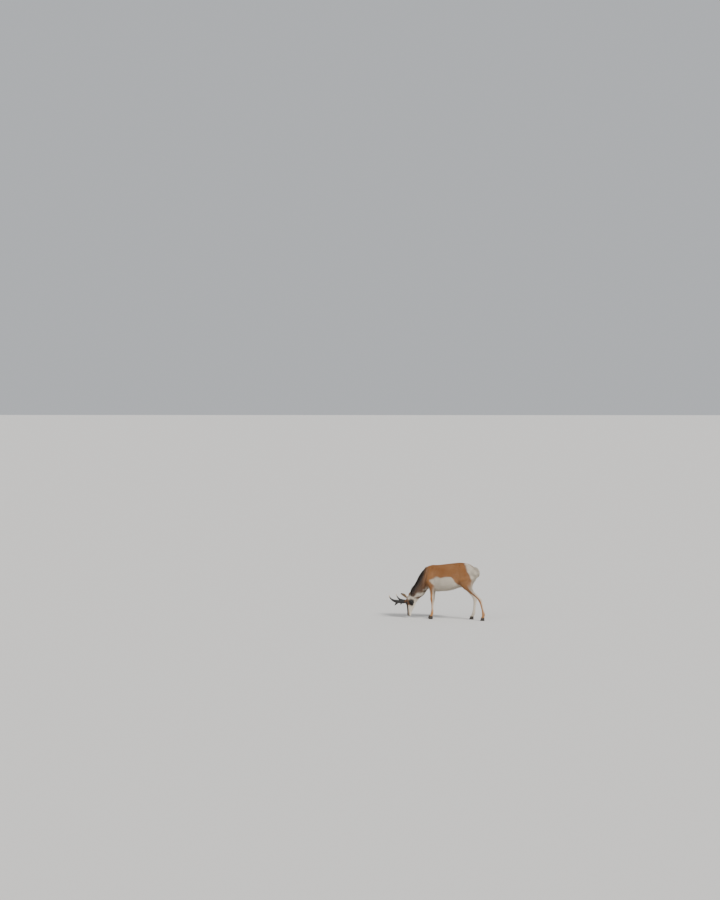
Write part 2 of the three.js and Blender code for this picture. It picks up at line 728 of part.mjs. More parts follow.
// Each leg is cut off by a plane that rises outwards from under the belly, and by its own outline there
const LEG_CUTS = {
  fore: { inner: vec(0, 52, 448), outer: vec(0, 140, 592) },
  hind: { inner: vec(0, 22, 452), outer: vec(0, 160, 672) },
};
const LEG_MARGIN = 4;
let torso = trunk;
for (const leg of LEGS) {
  const { inner, outer } = LEG_CUTS[leg.name.startsWith("fore") ? "fore" : "hind"];
  const mirror = (p) => vec(0, -leg.hand * p.y, p.z);
  const slope = mirror(outer).sub(mirror(inner)).normalize();
  const down = slope.clone().cross(vec(leg.hand, 0, 0)).normalize();
  if (down.z > 0) down.negate();
  const below = halfSpace(mirror(inner).addScaledVector(down, GAP / 2), down);
  const cutBelow = halfSpace(mirror(inner).addScaledVector(down, -GAP / 2), down);
  torso = torso.subtract(makeLeg(leg, LEG_MARGIN + GAP).intersect(cutBelow));
  const limb = trunk.intersect(makeLeg(leg, LEG_MARGIN).intersect(below));
  const [, shank] = part(limb, vec(0, 0, CORONET_HEIGHT), vec(0, 0, -1));
  nodes.set(leg.name, [largest(shank), FINISH.tan]);
  for (const [claw, isInner] of [["outer", false], ["inner", true]]) {
    const [below] = part(makeClaw(leg, isInner), vec(0, 0, CORONET_HEIGHT), vec(0, 0, -1));
    nodes.set(`hoof_${leg.name}_${claw}`, [below, FINISH.hoof]);
  }
}

// The tail node starts just behind the tail head, and the torso keeps its root
const tailCut = vec(TAIL_ROWS[1][0], 0, TAIL_ROWS[1][1]);
const tailWay = vec(1, 0, -0.35).normalize();
const [tailTip, tailRoot] = part(tail, tailCut, tailWay);
nodes.set("tail", [largest(tailTip.subtract(makeTorso(GAP))), FINISH.cream]);
nodes.set("torso", [largest(torso.add(tailRoot)), FINISH.tan]);

// The model stands with the middle of its footprint at the origin
const model = new THREE.Group();
for (const [name, [solid, material]] of nodes) {
  const { numProp, vertProperties, triVerts } = solid.getMesh();
  const positions = new Float32Array((vertProperties.length / numProp) * 3);
  for (let i = 0; i < vertProperties.length / numProp; i++) {
    positions.set(vertProperties.subarray(i * numProp, i * numProp + 3), i * 3);
  }
  const geometry = new THREE.BufferGeometry();
  geometry.setAttribute("position", new THREE.BufferAttribute(positions, 3));
  geometry.setIndex(new THREE.BufferAttribute(new Uint32Array(triVerts), 1));
  const mesh = new THREE.Mesh(geometry, material);
  mesh.name = name;
  model.add(mesh);
}
const box = new THREE.Box3().setFromObject(model);
const middle = box.getCenter(vec(0, 0, 0));
model.position.set(-middle.x, -middle.y, -box.min.z);
const group = new THREE.Group();
group.add(model);

export default group;
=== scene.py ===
"""Dresses a packed, life-size pronghorn buck for display.

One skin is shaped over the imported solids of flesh, and a coat of solid tufts grows from it along the lie of
the hair. Eyes, lashes, horns and hooves are pieces of their own. Lengths are in metres.

The model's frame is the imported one. The body's frame has x = 0 in the middle of the body, y = 0 on its
middle plane and z = 0 on the floor, with the head towards -x. The head's frame counts forward from the poll
to the nose, dorsal towards the forehead and lateral towards the left. A soft edge is a pair: where a region
is absent, and where it is whole. A soft bell is a pair too: its middle and its reach.
"""

import logging
import math
from collections.abc import Callable
from dataclasses import dataclass
from enum import Enum

import bmesh
import bpy
import numpy as np
from mathutils import Euler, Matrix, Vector


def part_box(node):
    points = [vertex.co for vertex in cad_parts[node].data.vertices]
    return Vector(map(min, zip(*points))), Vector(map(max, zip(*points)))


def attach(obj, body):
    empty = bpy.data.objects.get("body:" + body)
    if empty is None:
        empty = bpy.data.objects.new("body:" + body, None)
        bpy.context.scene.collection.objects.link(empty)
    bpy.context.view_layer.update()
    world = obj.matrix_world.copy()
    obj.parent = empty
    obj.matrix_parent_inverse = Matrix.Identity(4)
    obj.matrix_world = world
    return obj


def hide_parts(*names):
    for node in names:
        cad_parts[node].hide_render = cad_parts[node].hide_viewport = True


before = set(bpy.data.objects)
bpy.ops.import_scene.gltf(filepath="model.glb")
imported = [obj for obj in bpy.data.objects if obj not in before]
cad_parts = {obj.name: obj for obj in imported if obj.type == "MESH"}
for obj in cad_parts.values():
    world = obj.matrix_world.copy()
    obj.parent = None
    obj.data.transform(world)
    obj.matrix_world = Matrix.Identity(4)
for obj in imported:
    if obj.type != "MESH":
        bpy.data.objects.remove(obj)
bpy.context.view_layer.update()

logging.basicConfig(level=logging.INFO, format="%(message)s")
LOG = logging.getLogger("pronghorn")

Array = np.ndarray
Thing = bpy.types.Object
Look = bpy.types.Material
Socket = bpy.types.NodeSocket
Pair = tuple[float, float]
Triple = tuple[float, float, float]
Line = tuple[Triple, ...]
Share = Callable[[Array], Array]
HairWay = Callable[[Array, Array], Array]

FEET = ("foreleg_left", "foreleg_right", "hindleg_left", "hindleg_right")
FLESH = ("torso", "neck", "head", "tail", *FEET)
CLAWS = ("outer", "inner")

NECK_CUT_X = -0.391
TORSO_START_X = NECK_CUT_X + 0.00015
HEAD_YAW = math.radians(15)
ATLAS = np.array([-0.640, 0.010, 0.345])


class Side(Enum):
    """A side of the animal: the sign of the head's lateral way, where y has the other sign."""

    LEFT = 1
    RIGHT = -1

    @property
    def word(self) -> str:
        """The side as the pieces' names say it."""
        return self.name.lower()


Half = Callable[[Array, Side], Array]


class Slot(Enum):
    """The look that a piece is sorted under; nothing in this script reads it."""

    SKIN = "skin"
    TAN = "coat_tan"
    DARK = "coat_dark"
    WHITE = "coat_white"
    FACE = "coat_face"
    EYE = "eye"
    HORN = "horn"
    HOOF = "hoof"


class Layer(Enum):
    """A value stored on each vertex for the material to read."""

    ALONG = "along"
    TONE = "tone"
    COAT = "coat"
    BARE = "bare"
    RISE = "rise"
    PUPIL = "pupil"
    IRIS = "iris"


class Hue(Enum):
    """Linear colours of the coat."""

    TAN = (0.335, 0.135, 0.036)
    TAN_PALE = (0.50, 0.255, 0.105)
    TAN_DARK = (0.17, 0.064, 0.020)
    WHITE = (0.70, 0.62, 0.50)
    CREAM = (0.56, 0.42, 0.27)
    DARK = (0.020, 0.011, 0.007)
    BROWN = (0.060, 0.028, 0.013)
    BLACK = (0.008, 0.006, 0.005)


def smooth(low: float, high: float, value: Array) -> Array:
    """A soft step from 0 at low to 1 at high, either of which may be the larger."""
    t = np.clip((value - low) / (high - low), 0, 1)
    return t * t * (3 - 2 * t)


def hump(middle: float, reach: float, value: Array) -> Array:
    """A soft bell of height 1 round middle."""
    return np.exp(-(((value - middle) / reach) ** 2))


def unit(vectors: Array) -> Array:
    """Vectors scaled to length 1, row by row."""
    return vectors / np.maximum(np.linalg.norm(vectors, axis=-1, keepdims=True), 1e-9)


def blend_rows(base: Array, over: Array, share: Array) -> Array:
    """Rows of base mixed with over by a share for each row."""
    return base + (np.asarray(over) - base) * share[:, None]


def along_surface(ways: Array, normals: Array) -> Array:
    """Ways laid flat on a surface, at length 1."""
    return unit(ways - normals * np.sum(ways * normals, axis=1, keepdims=True))


class Body:
    """Where the body's frame, the line of the neck and the head's frame lie in the model's frame."""

    neck_root: Pair = (-0.375, 0.66)
    neck_way: Pair = (-0.55, -0.835)
    head_behind_atlas: float = 0.020
    head_above_atlas: float = 0.095
    poll: Pair = (0.016, -0.092)
    poll_way: Pair = (0.84, 0.42)
    poll_edge: Pair = (-0.012, 0.022)
    head_edge_x: Pair = (-0.37, -0.42)

    def __init__(self) -> None:
        """Finds the shift between the two frames from the torso's box."""
        low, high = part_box("torso")
        self.shift = np.array([low.x - TORSO_START_X, (low.y + high.y) / 2, 0.0])
        self.forward = np.array([0.0, 0.0, -1.0])
        self.dorsal = np.array([-math.cos(HEAD_YAW), math.sin(HEAD_YAW), 0.0])
        self.lateral = np.array([-math.sin(HEAD_YAW), -math.cos(HEAD_YAW), 0.0])
        self.head_axes = np.stack([self.forward, self.dorsal, self.lateral])
        self.head_origin = ATLAS - self.head_behind_atlas * self.forward + self.head_above_atlas * self.dorsal

    def own(self, points: Array) -> Array:
        """Points of the model's frame in the body's frame."""
        return points - self.shift

    def head(self, points: Array) -> Array:
        """Points of the body's frame as forward, dorsal and lateral distances in the head's frame."""
        away = points - self.head_origin
        return np.stack([away @ self.forward, away @ self.dorsal, away @ self.lateral], axis=-1)

    def from_head(self, spots: Array) -> Array:
        """Forward, dorsal and lateral distances as points of the body's frame."""
        return self.head_origin + np.asarray(spots, float) @ self.head_axes

    def head_way(self, way: Triple) -> Array:
        """A forward, dorsal and lateral way as one of the body's frame."""
        return np.array(way) @ self.head_axes

    def down_neck(self, points: Array) -> Array:
        """How far each point lies down the line of the neck from its root."""
        x, z = points[:, 0] - self.neck_root[0], points[:, 2] - self.neck_root[1]
        return x * self.neck_way[0] + z * self.neck_way[1]

    def nape_height(self, points: Array) -> Array:
        """How far each point lies from the line of the neck towards the nape."""
        x, z = points[:, 0] - self.neck_root[0], points[:, 2] - self.neck_root[1]
        return x * self.neck_way[1] - z * self.neck_way[0]

    def past_poll(self, forward: Array, dorsal: Array) -> Array:
        """How far each place of the head's frame lies past the slanting border between neck and head."""
        return (forward - self.poll[0]) * self.poll_way[0] + (dorsal - self.poll[1]) * self.poll_way[1]

    def headness(self, points: Array) -> Array:
        """How much each point belongs to the head.

        Args:
            points: points in the body's frame.

        Returns:
            A share from 0 to 1 for each.
        """
        spots = self.head(points)
        past = self.past_poll(spots[:, 0], spots[:, 1])
        return smooth(*self.poll_edge, past) * smooth(*self.head_edge_x, points[:, 0])


BODY = Body()


@dataclass(frozen=True)
class Leg:
    """The line of one leg: its name, its side and the middle of its coat at a few heights."""

    name: str
    side: Side
    line: Line

    def middle(self, heights: Array) -> Array:
        """The middle of the leg at each height.

        Args:
            heights: heights above the floor.

        Returns:
            An x and a y in the body's frame for each.
        """
        rows = np.array(sorted((z, x, y) for x, y, z in self.line))
        x = np.interp(heights, rows[:, 0], rows[:, 1])
        y = np.interp(heights, rows[:, 0], rows[:, 2])
        return np.stack([x, -self.side.value * y], axis=-1)


def swung(line: Line, pivot: float, reach: float = 0.0, fold: float = 0.0) -> Line:
    """A leg's line swung along x below its pivot.

    Args:
        line: the leg's line as it stands upright.
        pivot: the height that it swings about.
        reach: how far it swings at the floor.
        fold: how much farther it bows half way down.

    Returns:
        The swung line.
    """
    points = []
    for x, y, z in line:
        down = max(pivot - z, 0.0) / pivot
        points.append((x + reach * down + fold * math.sin(math.pi * down), y, z))
    return tuple(points)


FORELEG_LINE = ((-0.322, 0.080, 0.665), (-0.316, 0.086, 0.610), (-0.284, 0.086, 0.515),
                (-0.276, 0.082, 0.420), (-0.276, 0.079, 0.330), (-0.272, 0.078, 0.215),
                (-0.272, 0.077, 0.110), (-0.297, 0.077, 0.030))
HINDLEG_LINE = ((0.318, 0.070, 0.738), (0.300, 0.085, 0.680), (0.265, 0.096, 0.565), (0.300, 0.096, 0.475),
                (0.378, 0.092, 0.390), (0.424, 0.089, 0.325), (0.434, 0.087, 0.235), (0.440, 0.085, 0.110),
                (0.418, 0.085, 0.030))
ELBOW_Z = 0.56
STIFLE_Z = 0.60
HIP_Z = 0.64
LEGS = (
    Leg("foreleg_left", Side.LEFT, swung(FORELEG_LINE, ELBOW_Z)),
    Leg("foreleg_right", Side.RIGHT, swung(FORELEG_LINE, ELBOW_Z, reach=-0.054)),
    Leg("hindleg_left", Side.LEFT, swung(HINDLEG_LINE, HIP_Z, reach=0.146, fold=0.022)),
    Leg("hindleg_right", Side.RIGHT, swung(HINDLEG_LINE, HIP_Z, reach=-0.092, fold=0.012)),
)
LEG_FADE = 0.10
LEG_RADIUS = (0.135, 0.10)
LEG_FRONT_X = (-0.43, -0.40)
LEG_FLATNESS = np.array([1.0, 1.3])


@dataclass(frozen=True)
class LegShare:
    """How much a point belongs to the legs, and to the forelegs, and how far it faces in and back."""

    share: Array
    fore: Array
    inner: Array
    behind: Array


def on_legs(points: Array) -> LegShare:
    """Finds each point's leg.

    Args:
        points: points in the body's frame.

    Returns:
        The share of leg, of foreleg, and how far each point faces inwards and backwards, from -1 to 1.
    """
    count = len(points)
    best = np.full(count, np.inf)
    inner, behind, fore = np.zeros(count), np.zeros(count), np.zeros(count)
    for leg in LEGS:
        away = points[:, :2] - leg.middle(points[:, 2])
        distance = np.linalg.norm(away * LEG_FLATNESS, axis=1)
        near = distance < best
        best = np.where(near, distance, best)
        around = unit(away)
        inner = np.where(near, around[:, 1] * leg.side.value, inner)
        behind = np.where(near, around[:, 0], behind)
        fore = np.where(near, float(leg.name.startswith("fore")), fore)
    top = np.where(fore > 0.5, ELBOW_Z, STIFLE_Z)
    low = smooth(0.0, -LEG_FADE, points[:, 2] - top)
    share = low * smooth(*LEG_RADIUS, best) * smooth(*LEG_FRONT_X, points[:, 0])
    return LegShare(share, fore, inner, behind)


@dataclass(frozen=True)
class Waver:
    """A smooth uneven field over the body: its height, the distance between its swells, and its seed."""

    height: float
    size: float
    seed: int
    waves: int = 5
    evening: float = 2.6

    def at(self, points: Array) -> Array:
        """Works the field out.

        Args:
            points: points in the body's frame.

        Returns:
            A value for each, between about -height and height.
        """
        random = np.random.default_rng(self.seed)
        total = np.zeros(len(points))
        for _ in range(self.waves):
            way = unit(random.normal(size=(1, 3)))[0]
            phase = random.uniform(0, 2 * math.pi)
            total += np.sin(points @ way * (2 * math.pi / self.size) * random.uniform(0.7, 1.4) + phase)
        return self.height * (total / self.evening)


@dataclass(frozen=True)
class EyeSize:
    """The eye's place in the head's frame and the shape of the opening between its lids."""

    forward: float = 0.122
    dorsal: float = -0.036
    lateral: float = 0.046
    radius: float = 0.0225
    half_length: float = 0.0185
    half_height: float = 0.0122

    def centre(self, side: Side) -> Array:
        """The middle of the eyeball in the body's frame."""
        return BODY.from_head((self.forward, self.dorsal, side.value * self.lateral))

    def axes(self, side: Side) -> tuple[Array, Array, Array]:
        """The ways that the eye is built along.

        Args:
            side: which eye.

        Returns:
            Unit ways out of the eye, along its opening towards the nose, and up towards the brow.
        """
        out = unit(BODY.head_way((0.1, 0.16, side.value)))
        along = unit(BODY.head_way((1.0, -0.22, 0.0)))
        along = unit(along - out * (along @ out))
        brow = np.cross(out, along)
        if brow @ BODY.dorsal < 0:
            brow = -brow
        return out, along, brow


EYE = EyeSize()
MOUTH_DORSAL = -0.0665
MOUTH_SAG = 0.011
MOUTH_CORNER_FORWARD = (0.290, 0.250)


def mouth_line(forward: Array) -> Array:
    """The dorsal place of the line of the mouth, which sags towards its corner."""
    return MOUTH_DORSAL - MOUTH_SAG * smooth(*MOUTH_CORNER_FORWARD, forward)


class Paint:
    """Rows of colour, over which hues are laid by a share for each row."""

    def __init__(self, hue: Hue, count: int) -> None:
        """Starts with rows of one hue."""
        self.rows = np.tile(hue.value, (count, 1))

    def over(self, hue: Hue, share: Array) -> None:
        """Lays a hue over the rows."""
        self.rows = blend_rows(self.rows, hue.value, share)


@dataclass(frozen=True)
class RumpPatch:
    """The white rump patch: its front edge runs down and back from the croup, and it ends below the seat."""

    croup: Pair = (0.232, 0.90)
    slant: float = 0.62
    bend: float = 0.30
    bend_slant: float = 0.55
    front: Pair = (-0.012, 0.016)
    foot: Pair = (0.49, 0.55)
    seat_front: Pair = (0.335, 0.372)
    seat_slant: float = 0.35
    seat_level: float = 0.60
    seat_foot: Pair = (0.49, 0.54)
    seat_top: Pair = (0.71, 0.66)
    seat_side: Pair = (0.135, 0.105)
    spine_side: Pair = (0.022, 0.010)
    spine_end: Pair = (0.40, 0.33)
    spine_strength: float = 0.85
    front_waver: Waver = Waver(0.014, 0.09, 3)
    foot_waver: Waver = Waver(0.012, 0.05, 4)

    def share(self, points: Array) -> Array:
        """How white each point is.

        Args:
            points: points in the body's frame.

        Returns:
            A share from 0 to 1 for each.
        """
        x, y, z = points.T
        side = np.abs(y)
        front, top = self.croup
        drop = np.maximum(top - z, 0)
        bent = self.bend_slant * np.maximum(drop - self.bend, 0)
        edge = front + self.slant * drop - bent + self.front_waver.at(points)
        patch = smooth(*self.front, x - edge) * smooth(*self.foot, z + self.foot_waver.at(points))
        seat = smooth(*self.seat_front, x - self.seat_slant * (z - self.seat_level))
        seat = seat * smooth(*self.seat_foot, z) * smooth(*self.seat_top, z)
        patch = np.maximum(patch, seat * smooth(*self.seat_side, side))
        spine = smooth(*self.spine_side, side) * smooth(*self.spine_end, x)
        return patch * (1 - self.spine_strength * spine)


@dataclass(frozen=True)
class Underside:
    """White of the lower flank, belly, groin and chest, with a level top edge from behind the elbow."""

    top: float = 0.688
    top_edge: Pair = (-0.014, 0.014)
    rear_fall: float = 0.10
    rear_fall_x: Pair = (0.02, 0.17)
    fore_fall: float = 0.05
    fore_fall_x: Pair = (-0.20, -0.34)
    front_x: float = -0.375
    front_slant: float = 0.95
    front_level: float = 0.69
    front_limit: float = -0.245
    front_edge: Pair = (-0.012, 0.020)
    rear_edge: Pair = (0.215, 0.165)
    rear_slant: float = 0.45
    rear_level: float = 0.56
    belly_top: Pair = (0.50, 0.475)
    belly_front: Pair = (-0.36, -0.33)
    belly_rear: Pair = (0.40, 0.30)
    between_top: Pair = (0.60, 0.56)
    groin_side: Pair = (0.095, 0.07)
    groin_front: Pair = (0.16, 0.20)
    chest_side: Pair = (0.075, 0.05)
    chest_front: Pair = (-0.37, -0.35)
    waver: Waver = Waver(0.012, 0.11, 5)

    def share(self, points: Array) -> Array:
        """How white each point is.

        Args:
            points: points in the body's frame.

        Returns:
            A share from 0 to 1 for each.
        """
        x, y, z = points.T
        side = np.abs(y)
        waver = self.waver.at(points)
        front = np.minimum(self.front_x + self.front_slant * (self.front_level - z), self.front_limit)
        top = self.top - self.rear_fall * smooth(*self.rear_fall_x, x)
        top = top - self.fore_fall * smooth(*self.fore_fall_x, x)
        flank = smooth(*self.top_edge, top + waver - z) * smooth(*self.front_edge, x - front)
        flank = flank * smooth(*self.rear_edge, x + self.rear_slant * (z - self.rear_level))
        belly = smooth(*self.belly_front, x) * smooth(*self.belly_rear, x)
        belly = belly * smooth(*self.belly_top, z + waver)
        groin = smooth(*self.between_top, z) * smooth(*self.groin_side, side) * smooth(*self.groin_front, x)
        chest = smooth(*self.chest_side, side) * smooth(*self.between_top, z) * smooth(*self.chest_front, x)
        return np.clip(np.maximum.reduce([flank, belly, groin, chest]), 0, 1)


@dataclass(frozen=True)
class ThroatBands:
    """Two white bands across the front of the neck, each a bell along it that leans as it goes round."""

    upper: Pair = (0.254, 0.034)
    upper_lean: float = 1.2
    upper_depth: float = 0.087
    upper_edge: Pair = (-0.020, 0.015)
    lower: Pair = (0.120, 0.040)
    lower_lean: float = 0.8
    lower_depth: float = 0.11
    lower_edge: Pair = (0.040, 0.075)
    start_x: Pair = (-0.36, -0.39)
    strength: float = 1.6
    waver: Waver = Waver(0.008, 0.06, 6)

    def share(self, points: Array) -> Array:
        """How white each point is.

        Args:
            points: points in the body's frame.

        Returns:
            A share from 0 to 1 for each.
        """
        down = BODY.down_neck(points)
        depth = -BODY.nape_height(points)
        waver = self.waver.at(points)
        upper = hump(*self.upper, down + waver - self.upper_lean * (self.upper_depth - depth))
        upper = upper * smooth(*self.upper_edge, depth + waver)
        lower = hump(*self.lower, down - waver - self.lower_lean * (self.lower_depth - depth))
        lower = lower * smooth(*self.lower_edge, depth + waver)
        return np.clip(self.strength * np.maximum(upper, lower), 0, 1) * smooth(*self.start_x, points[:, 0])


@dataclass(frozen=True)
class FaceMarks:
    """The head's markings: a brown wash that is partly painted shade, dark mask, black cheek patch, white
    cheek, lips and crown, in the head's frame.
    """

    bridge_side: Pair = (0.16, 0.10)
    cheek_top: Pair = (-0.048, -0.068)
    cheek_rear: Pair = (0.140, 0.168)
    jaw_top: Pair = (-0.118, -0.135)
    jaw_rear: Pair = (0.05, 0.09)
    mask_foot: Pair = (-0.064, -0.044)
    mask_rear: Pair = (0.128, 0.150)
    patch: Pair = (0.104, 0.062)
    patch_dorsal: float = -0.122
    patch_slant: float = 0.10
    patch_level: float = 0.10
    patch_reach: float = 0.040
    patch_side: Pair = (0.015, 0.035)
    crown: Pair = (0.060, 0.036)
    crown_foot: Pair = (-0.05, -0.022)
    crown_side: Pair = (0.048, 0.034)
    ear_root: Pair = (0.045, 0.022)
    ear_root_dorsal: Pair = (-0.075, 0.026)
    off_middle: Pair = (0.03, 0.05)
    eye_ring: Pair = (0.030, 0.022)
    eye_flatness: float = 1.15
    nose_rear: Pair = (0.300, 0.312)
    nose_foot: Pair = (-0.058, -0.048)
    lips: Pair = (0.0042, 0.0012)
    lips_rear: Pair = (0.262, 0.285)
    waver: Waver = Waver(0.005, 0.035, 9)
    fine_waver: Waver = Waver(0.003, 0.013, 10)
    edge_share: float = 0.25

    def colour(self, points: Array) -> Array:
        """The head's colours.

        Args:
            points: points in the body's frame.

        Returns:
            A colour for each.
        """
        forward, dorsal, lateral = BODY.head(points).T
        side = np.abs(lateral)
        waver = self.waver.at(points) + self.fine_waver.at(points)
        level = dorsal + self.edge_share * waver
        off_middle = smooth(*self.off_middle, side)
        paint = Paint(Hue.TAN, len(points))
        # A brown wash over the head, heaviest along the bridge: partly the face's own tan-brown, partly
        # painted shade.
        paint.over(Hue.BROWN, 0.45 + 0.25 * smooth(*self.bridge_side, side + 0.5 * forward))
        cheek = smooth(*self.cheek_top, level) * smooth(*self.cheek_rear, forward - waver)
        jaw = smooth(*self.jaw_top, dorsal) * smooth(*self.jaw_rear, forward)
        paint.over(Hue.WHITE, np.maximum(cheek, jaw))
        paint.over(Hue.BLACK, 0.93 * (smooth(*self.mask_foot, level) * smooth(*self.mask_rear, forward)))
        across = self.patch_dorsal - self.patch_slant * (forward - self.patch_level) + 1.1 * waver
        patch = hump(*self.patch, forward + waver) * hump(0, self.patch_reach, dorsal - across)
        paint.over(Hue.BLACK, np.clip(2.8 * (patch * smooth(*self.patch_side, side)) - 0.45, 0, 1))
        crown = hump(*self.crown, forward) * smooth(*self.crown_foot, dorsal) * smooth(*self.crown_side, side)
        paint.over(Hue.WHITE, np.clip(1.7 * crown, 0, 1))
        ear_root = hump(*self.ear_root, forward) * hump(*self.ear_root_dorsal, dorsal) * off_middle
        paint.over(Hue.WHITE, np.clip(1.4 * ear_root, 0, 1))
        eye = np.hypot(forward - EYE.forward, (dorsal - EYE.dorsal) * self.eye_flatness)
        paint.over(Hue.BLACK, 0.9 * smooth(*self.eye_ring, eye) * off_middle)
        paint.over(Hue.BLACK, smooth(*self.nose_rear, forward + waver) * smooth(*self.nose_foot, dorsal))
        lips = smooth(*self.lips, np.abs(dorsal - mouth_line(forward))) * smooth(*self.lips_rear, forward)
        paint.over(Hue.DARK, 0.85 * lips)
        return paint.rows


@dataclass(frozen=True)
class Markings:
    """The colours of the coat as soft regions of the body, shared by the skin and the tufts; the browns over
    the neck and the head are partly painted shade.
    """

    rump: RumpPatch = RumpPatch()
    underside: Underside = Underside()
    throat: ThroatBands = ThroatBands()
    face: FaceMarks = FaceMarks()
    mottle: Waver = Waver(0.5, 0.16, 1)
    low_flank: Pair = (0.72, 0.62)
    ridge_z: Pair = (0.86, 0.92)
    ridge_side: Pair = (0.06, 0.02)
    neck_start: Pair = (-0.33, -0.47)
    nape: Pair = (-0.02, 0.06)
    nape_dark: Pair = (0.015, 0.080)
    leg_waver: Waver = Waver(0.10, 0.11, 8)
    cannon_z: Pair = (0.35, 0.15)
    inner_leg: Pair = (-0.1, 0.5)
    leg_back: Pair = (0.40, 0.80)
    leg_back_z: Pair = (0.10, 0.20)
    coronet_z: Pair = (0.062, 0.048)
    collar: Pair = (0.004, 0.019)
    collar_top: Pair = (-0.048, -0.066)
    collar_waver: Waver = Waver(0.004, 0.03, 11)
    collar_end_x: float = -0.42

    def body(self, points: Array) -> Array:
        """Colours of the trunk and neck.

        Args:
            points: points in the body's frame.

        Returns:
            A colour for each.
        """
        x, y, z = points.T
        neck = smooth(*self.neck_start, x)
        height = BODY.nape_height(points)
        paint = Paint(Hue.TAN, len(points))
        paint.over(Hue.TAN_PALE, 0.28 * (0.5 + self.mottle.at(points)) + 0.22 * smooth(*self.low_flank, z))
        paint.over(Hue.TAN_DARK, 0.40 * smooth(*self.ridge_z, z) * smooth(*self.ridge_side, np.abs(y)))
        # The neck's brown is partly its own darker coat and partly painted shade, heaviest towards the nape;
        # the darkest nape below is the mane's own colour.
        paint.over(Hue.BROWN, neck * (0.84 + 0.14 * smooth(*self.nape, height)))
        paint.over(Hue.DARK, neck * smooth(*self.nape_dark, height))
        paint.over(Hue.WHITE, 0.95 * self.throat.share(points))
        paint.over(Hue.WHITE, self.underside.share(points))
        paint.over(Hue.WHITE, self.rump.share(points))
        return paint.rows

    def legs(self, points: Array, where: LegShare) -> Array:
        """Colours of the legs: tan outside, pale inside and behind, dark at the coronet.

        Args:
            points: points in the body's frame.
            where: where the points lie on the legs.

        Returns:
            A colour for each.
        """
        z = points[:, 2]
        waver = self.leg_waver.at(points)
        pale = smooth(*self.inner_leg, where.inner + waver)
        back = 0.92 * smooth(*self.leg_back, where.behind + waver) * smooth(*self.leg_back_z, z)
        paint = Paint(Hue.TAN, len(points))
        paint.over(Hue.TAN_PALE, 0.25 + 0.35 * smooth(*self.cannon_z, z))
        paint.over(Hue.WHITE, 0.92 * np.maximum(pale, back))
        paint.over(Hue.BROWN, 0.7 * smooth(*self.coronet_z, z))
        return paint.rows

    def colour(self, points: Array) -> Array:
        """The coat's colour.

        Args:
            points: points in the body's frame.

        Returns:
            A linear colour for each.
        """
        where = on_legs(points)
        rows = blend_rows(self.body(points), self.legs(points, where), where.share)
        rows = blend_rows(rows, self.face.colour(points), BODY.headness(points))
        forward, dorsal, _ = BODY.head(points).T
        past = BODY.past_poll(forward, dorsal)
        collar = hump(*self.collar, past + self.collar_waver.at(points)) * smooth(*self.collar_top, dorsal)
        share = 0.92 * collar * (points[:, 0] < self.collar_end_x)
        return np.clip(blend_rows(rows, Hue.WHITE.value, share), 0, 1)


MARKINGS = Markings()


def select_only(thing: Thing) -> None:
    """Selects one object and no other.

    Args:
        thing: the object.
    """
    bpy.ops.object.select_all(action="DESELECT")
    thing.select_set(True)
    bpy.context.view_layer.objects.active = thing


def placed(title: str, data: bpy.types.ID) -> Thing:
    """Makes an object and puts it in the scene.

    Args:
        title: its name.
        data: its mesh, lamp or lens.

    Returns:
        The object.
    """
    thing = bpy.data.objects.new(title, data)
    bpy.context.scene.collection.objects.link(thing)
    return thing


def merged_copy(names: tuple[str, ...], title: str) -> Thing:
    """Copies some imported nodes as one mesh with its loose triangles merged.

    Args:
        names: the nodes.
        title: the copy's name.

    Returns:
        The copy, in the model's frame.
    """
    copies = []
    for name in names:
        copied = placed(name + "_copy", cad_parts[name].data.copy())
        copied.data.materials.clear()
        copies.append(copied)
    select_only(copies[0])
    for copied in copies[1:]:
        copied.select_set(True)
    if len(copies) > 1:
        bpy.ops.object.join()
    joined = bpy.context.view_layer.objects.active
    joined.name = title
    joined.data.name = title
    bpy.ops.object.mode_set(mode="EDIT")
    bpy.ops.mesh.select_all(action="SELECT")
    bpy.ops.mesh.remove_doubles(threshold=1e-6)
    bpy.ops.object.mode_set(mode="OBJECT")
    return joined


def apply_modifier(thing: Thing, kind: str, **settings: object) -> None:
    """Adds a modifier and applies it.

    Args:
        thing: the object.
        kind: the modifier's type.
        settings: its settings by name.
    """
    select_only(thing)
    modifier = thing.modifiers.new(kind.title(), kind)
    for name, value in settings.items():
        setattr(modifier, name, value)
    bpy.ops.object.modifier_apply(modifier=modifier.name)


def remesh(thing: Thing, voxel: float) -> None:
    """Gives a closed object an even mesh with faces of about the voxel's size."""
    apply_modifier(thing, "REMESH", mode="VOXEL", voxel_size=voxel, adaptivity=0.0)


def read_rows(items: bpy.types.bpy_prop_collection, field: str) -> Array:
    """Reads a vector of each item of a mesh.

    Args:
        items: the items.
        field: the vector's name.

    Returns:
        A row for each item.
    """
    flat = np.empty(len(items) * 3, np.float32)
    items.foreach_get(field, flat)
    return flat.reshape(-1, 3).astype(float)


def coordinates(thing: Thing) -> Array:
    """An object's vertices as rows in the model's frame."""
    return read_rows(thing.data.vertices, "co")


def vertex_normals(thing: Thing) -> Array:
    """An object's vertex normals as unit rows."""
    return read_rows(thing.data.vertex_normals, "vector")


def set_coordinates(thing: Thing, points: Array) -> None:
    """Moves an object's vertices to rows of points."""
    thing.data.vertices.foreach_set("co", np.asarray(points, float).ravel())
    thing.data.update()


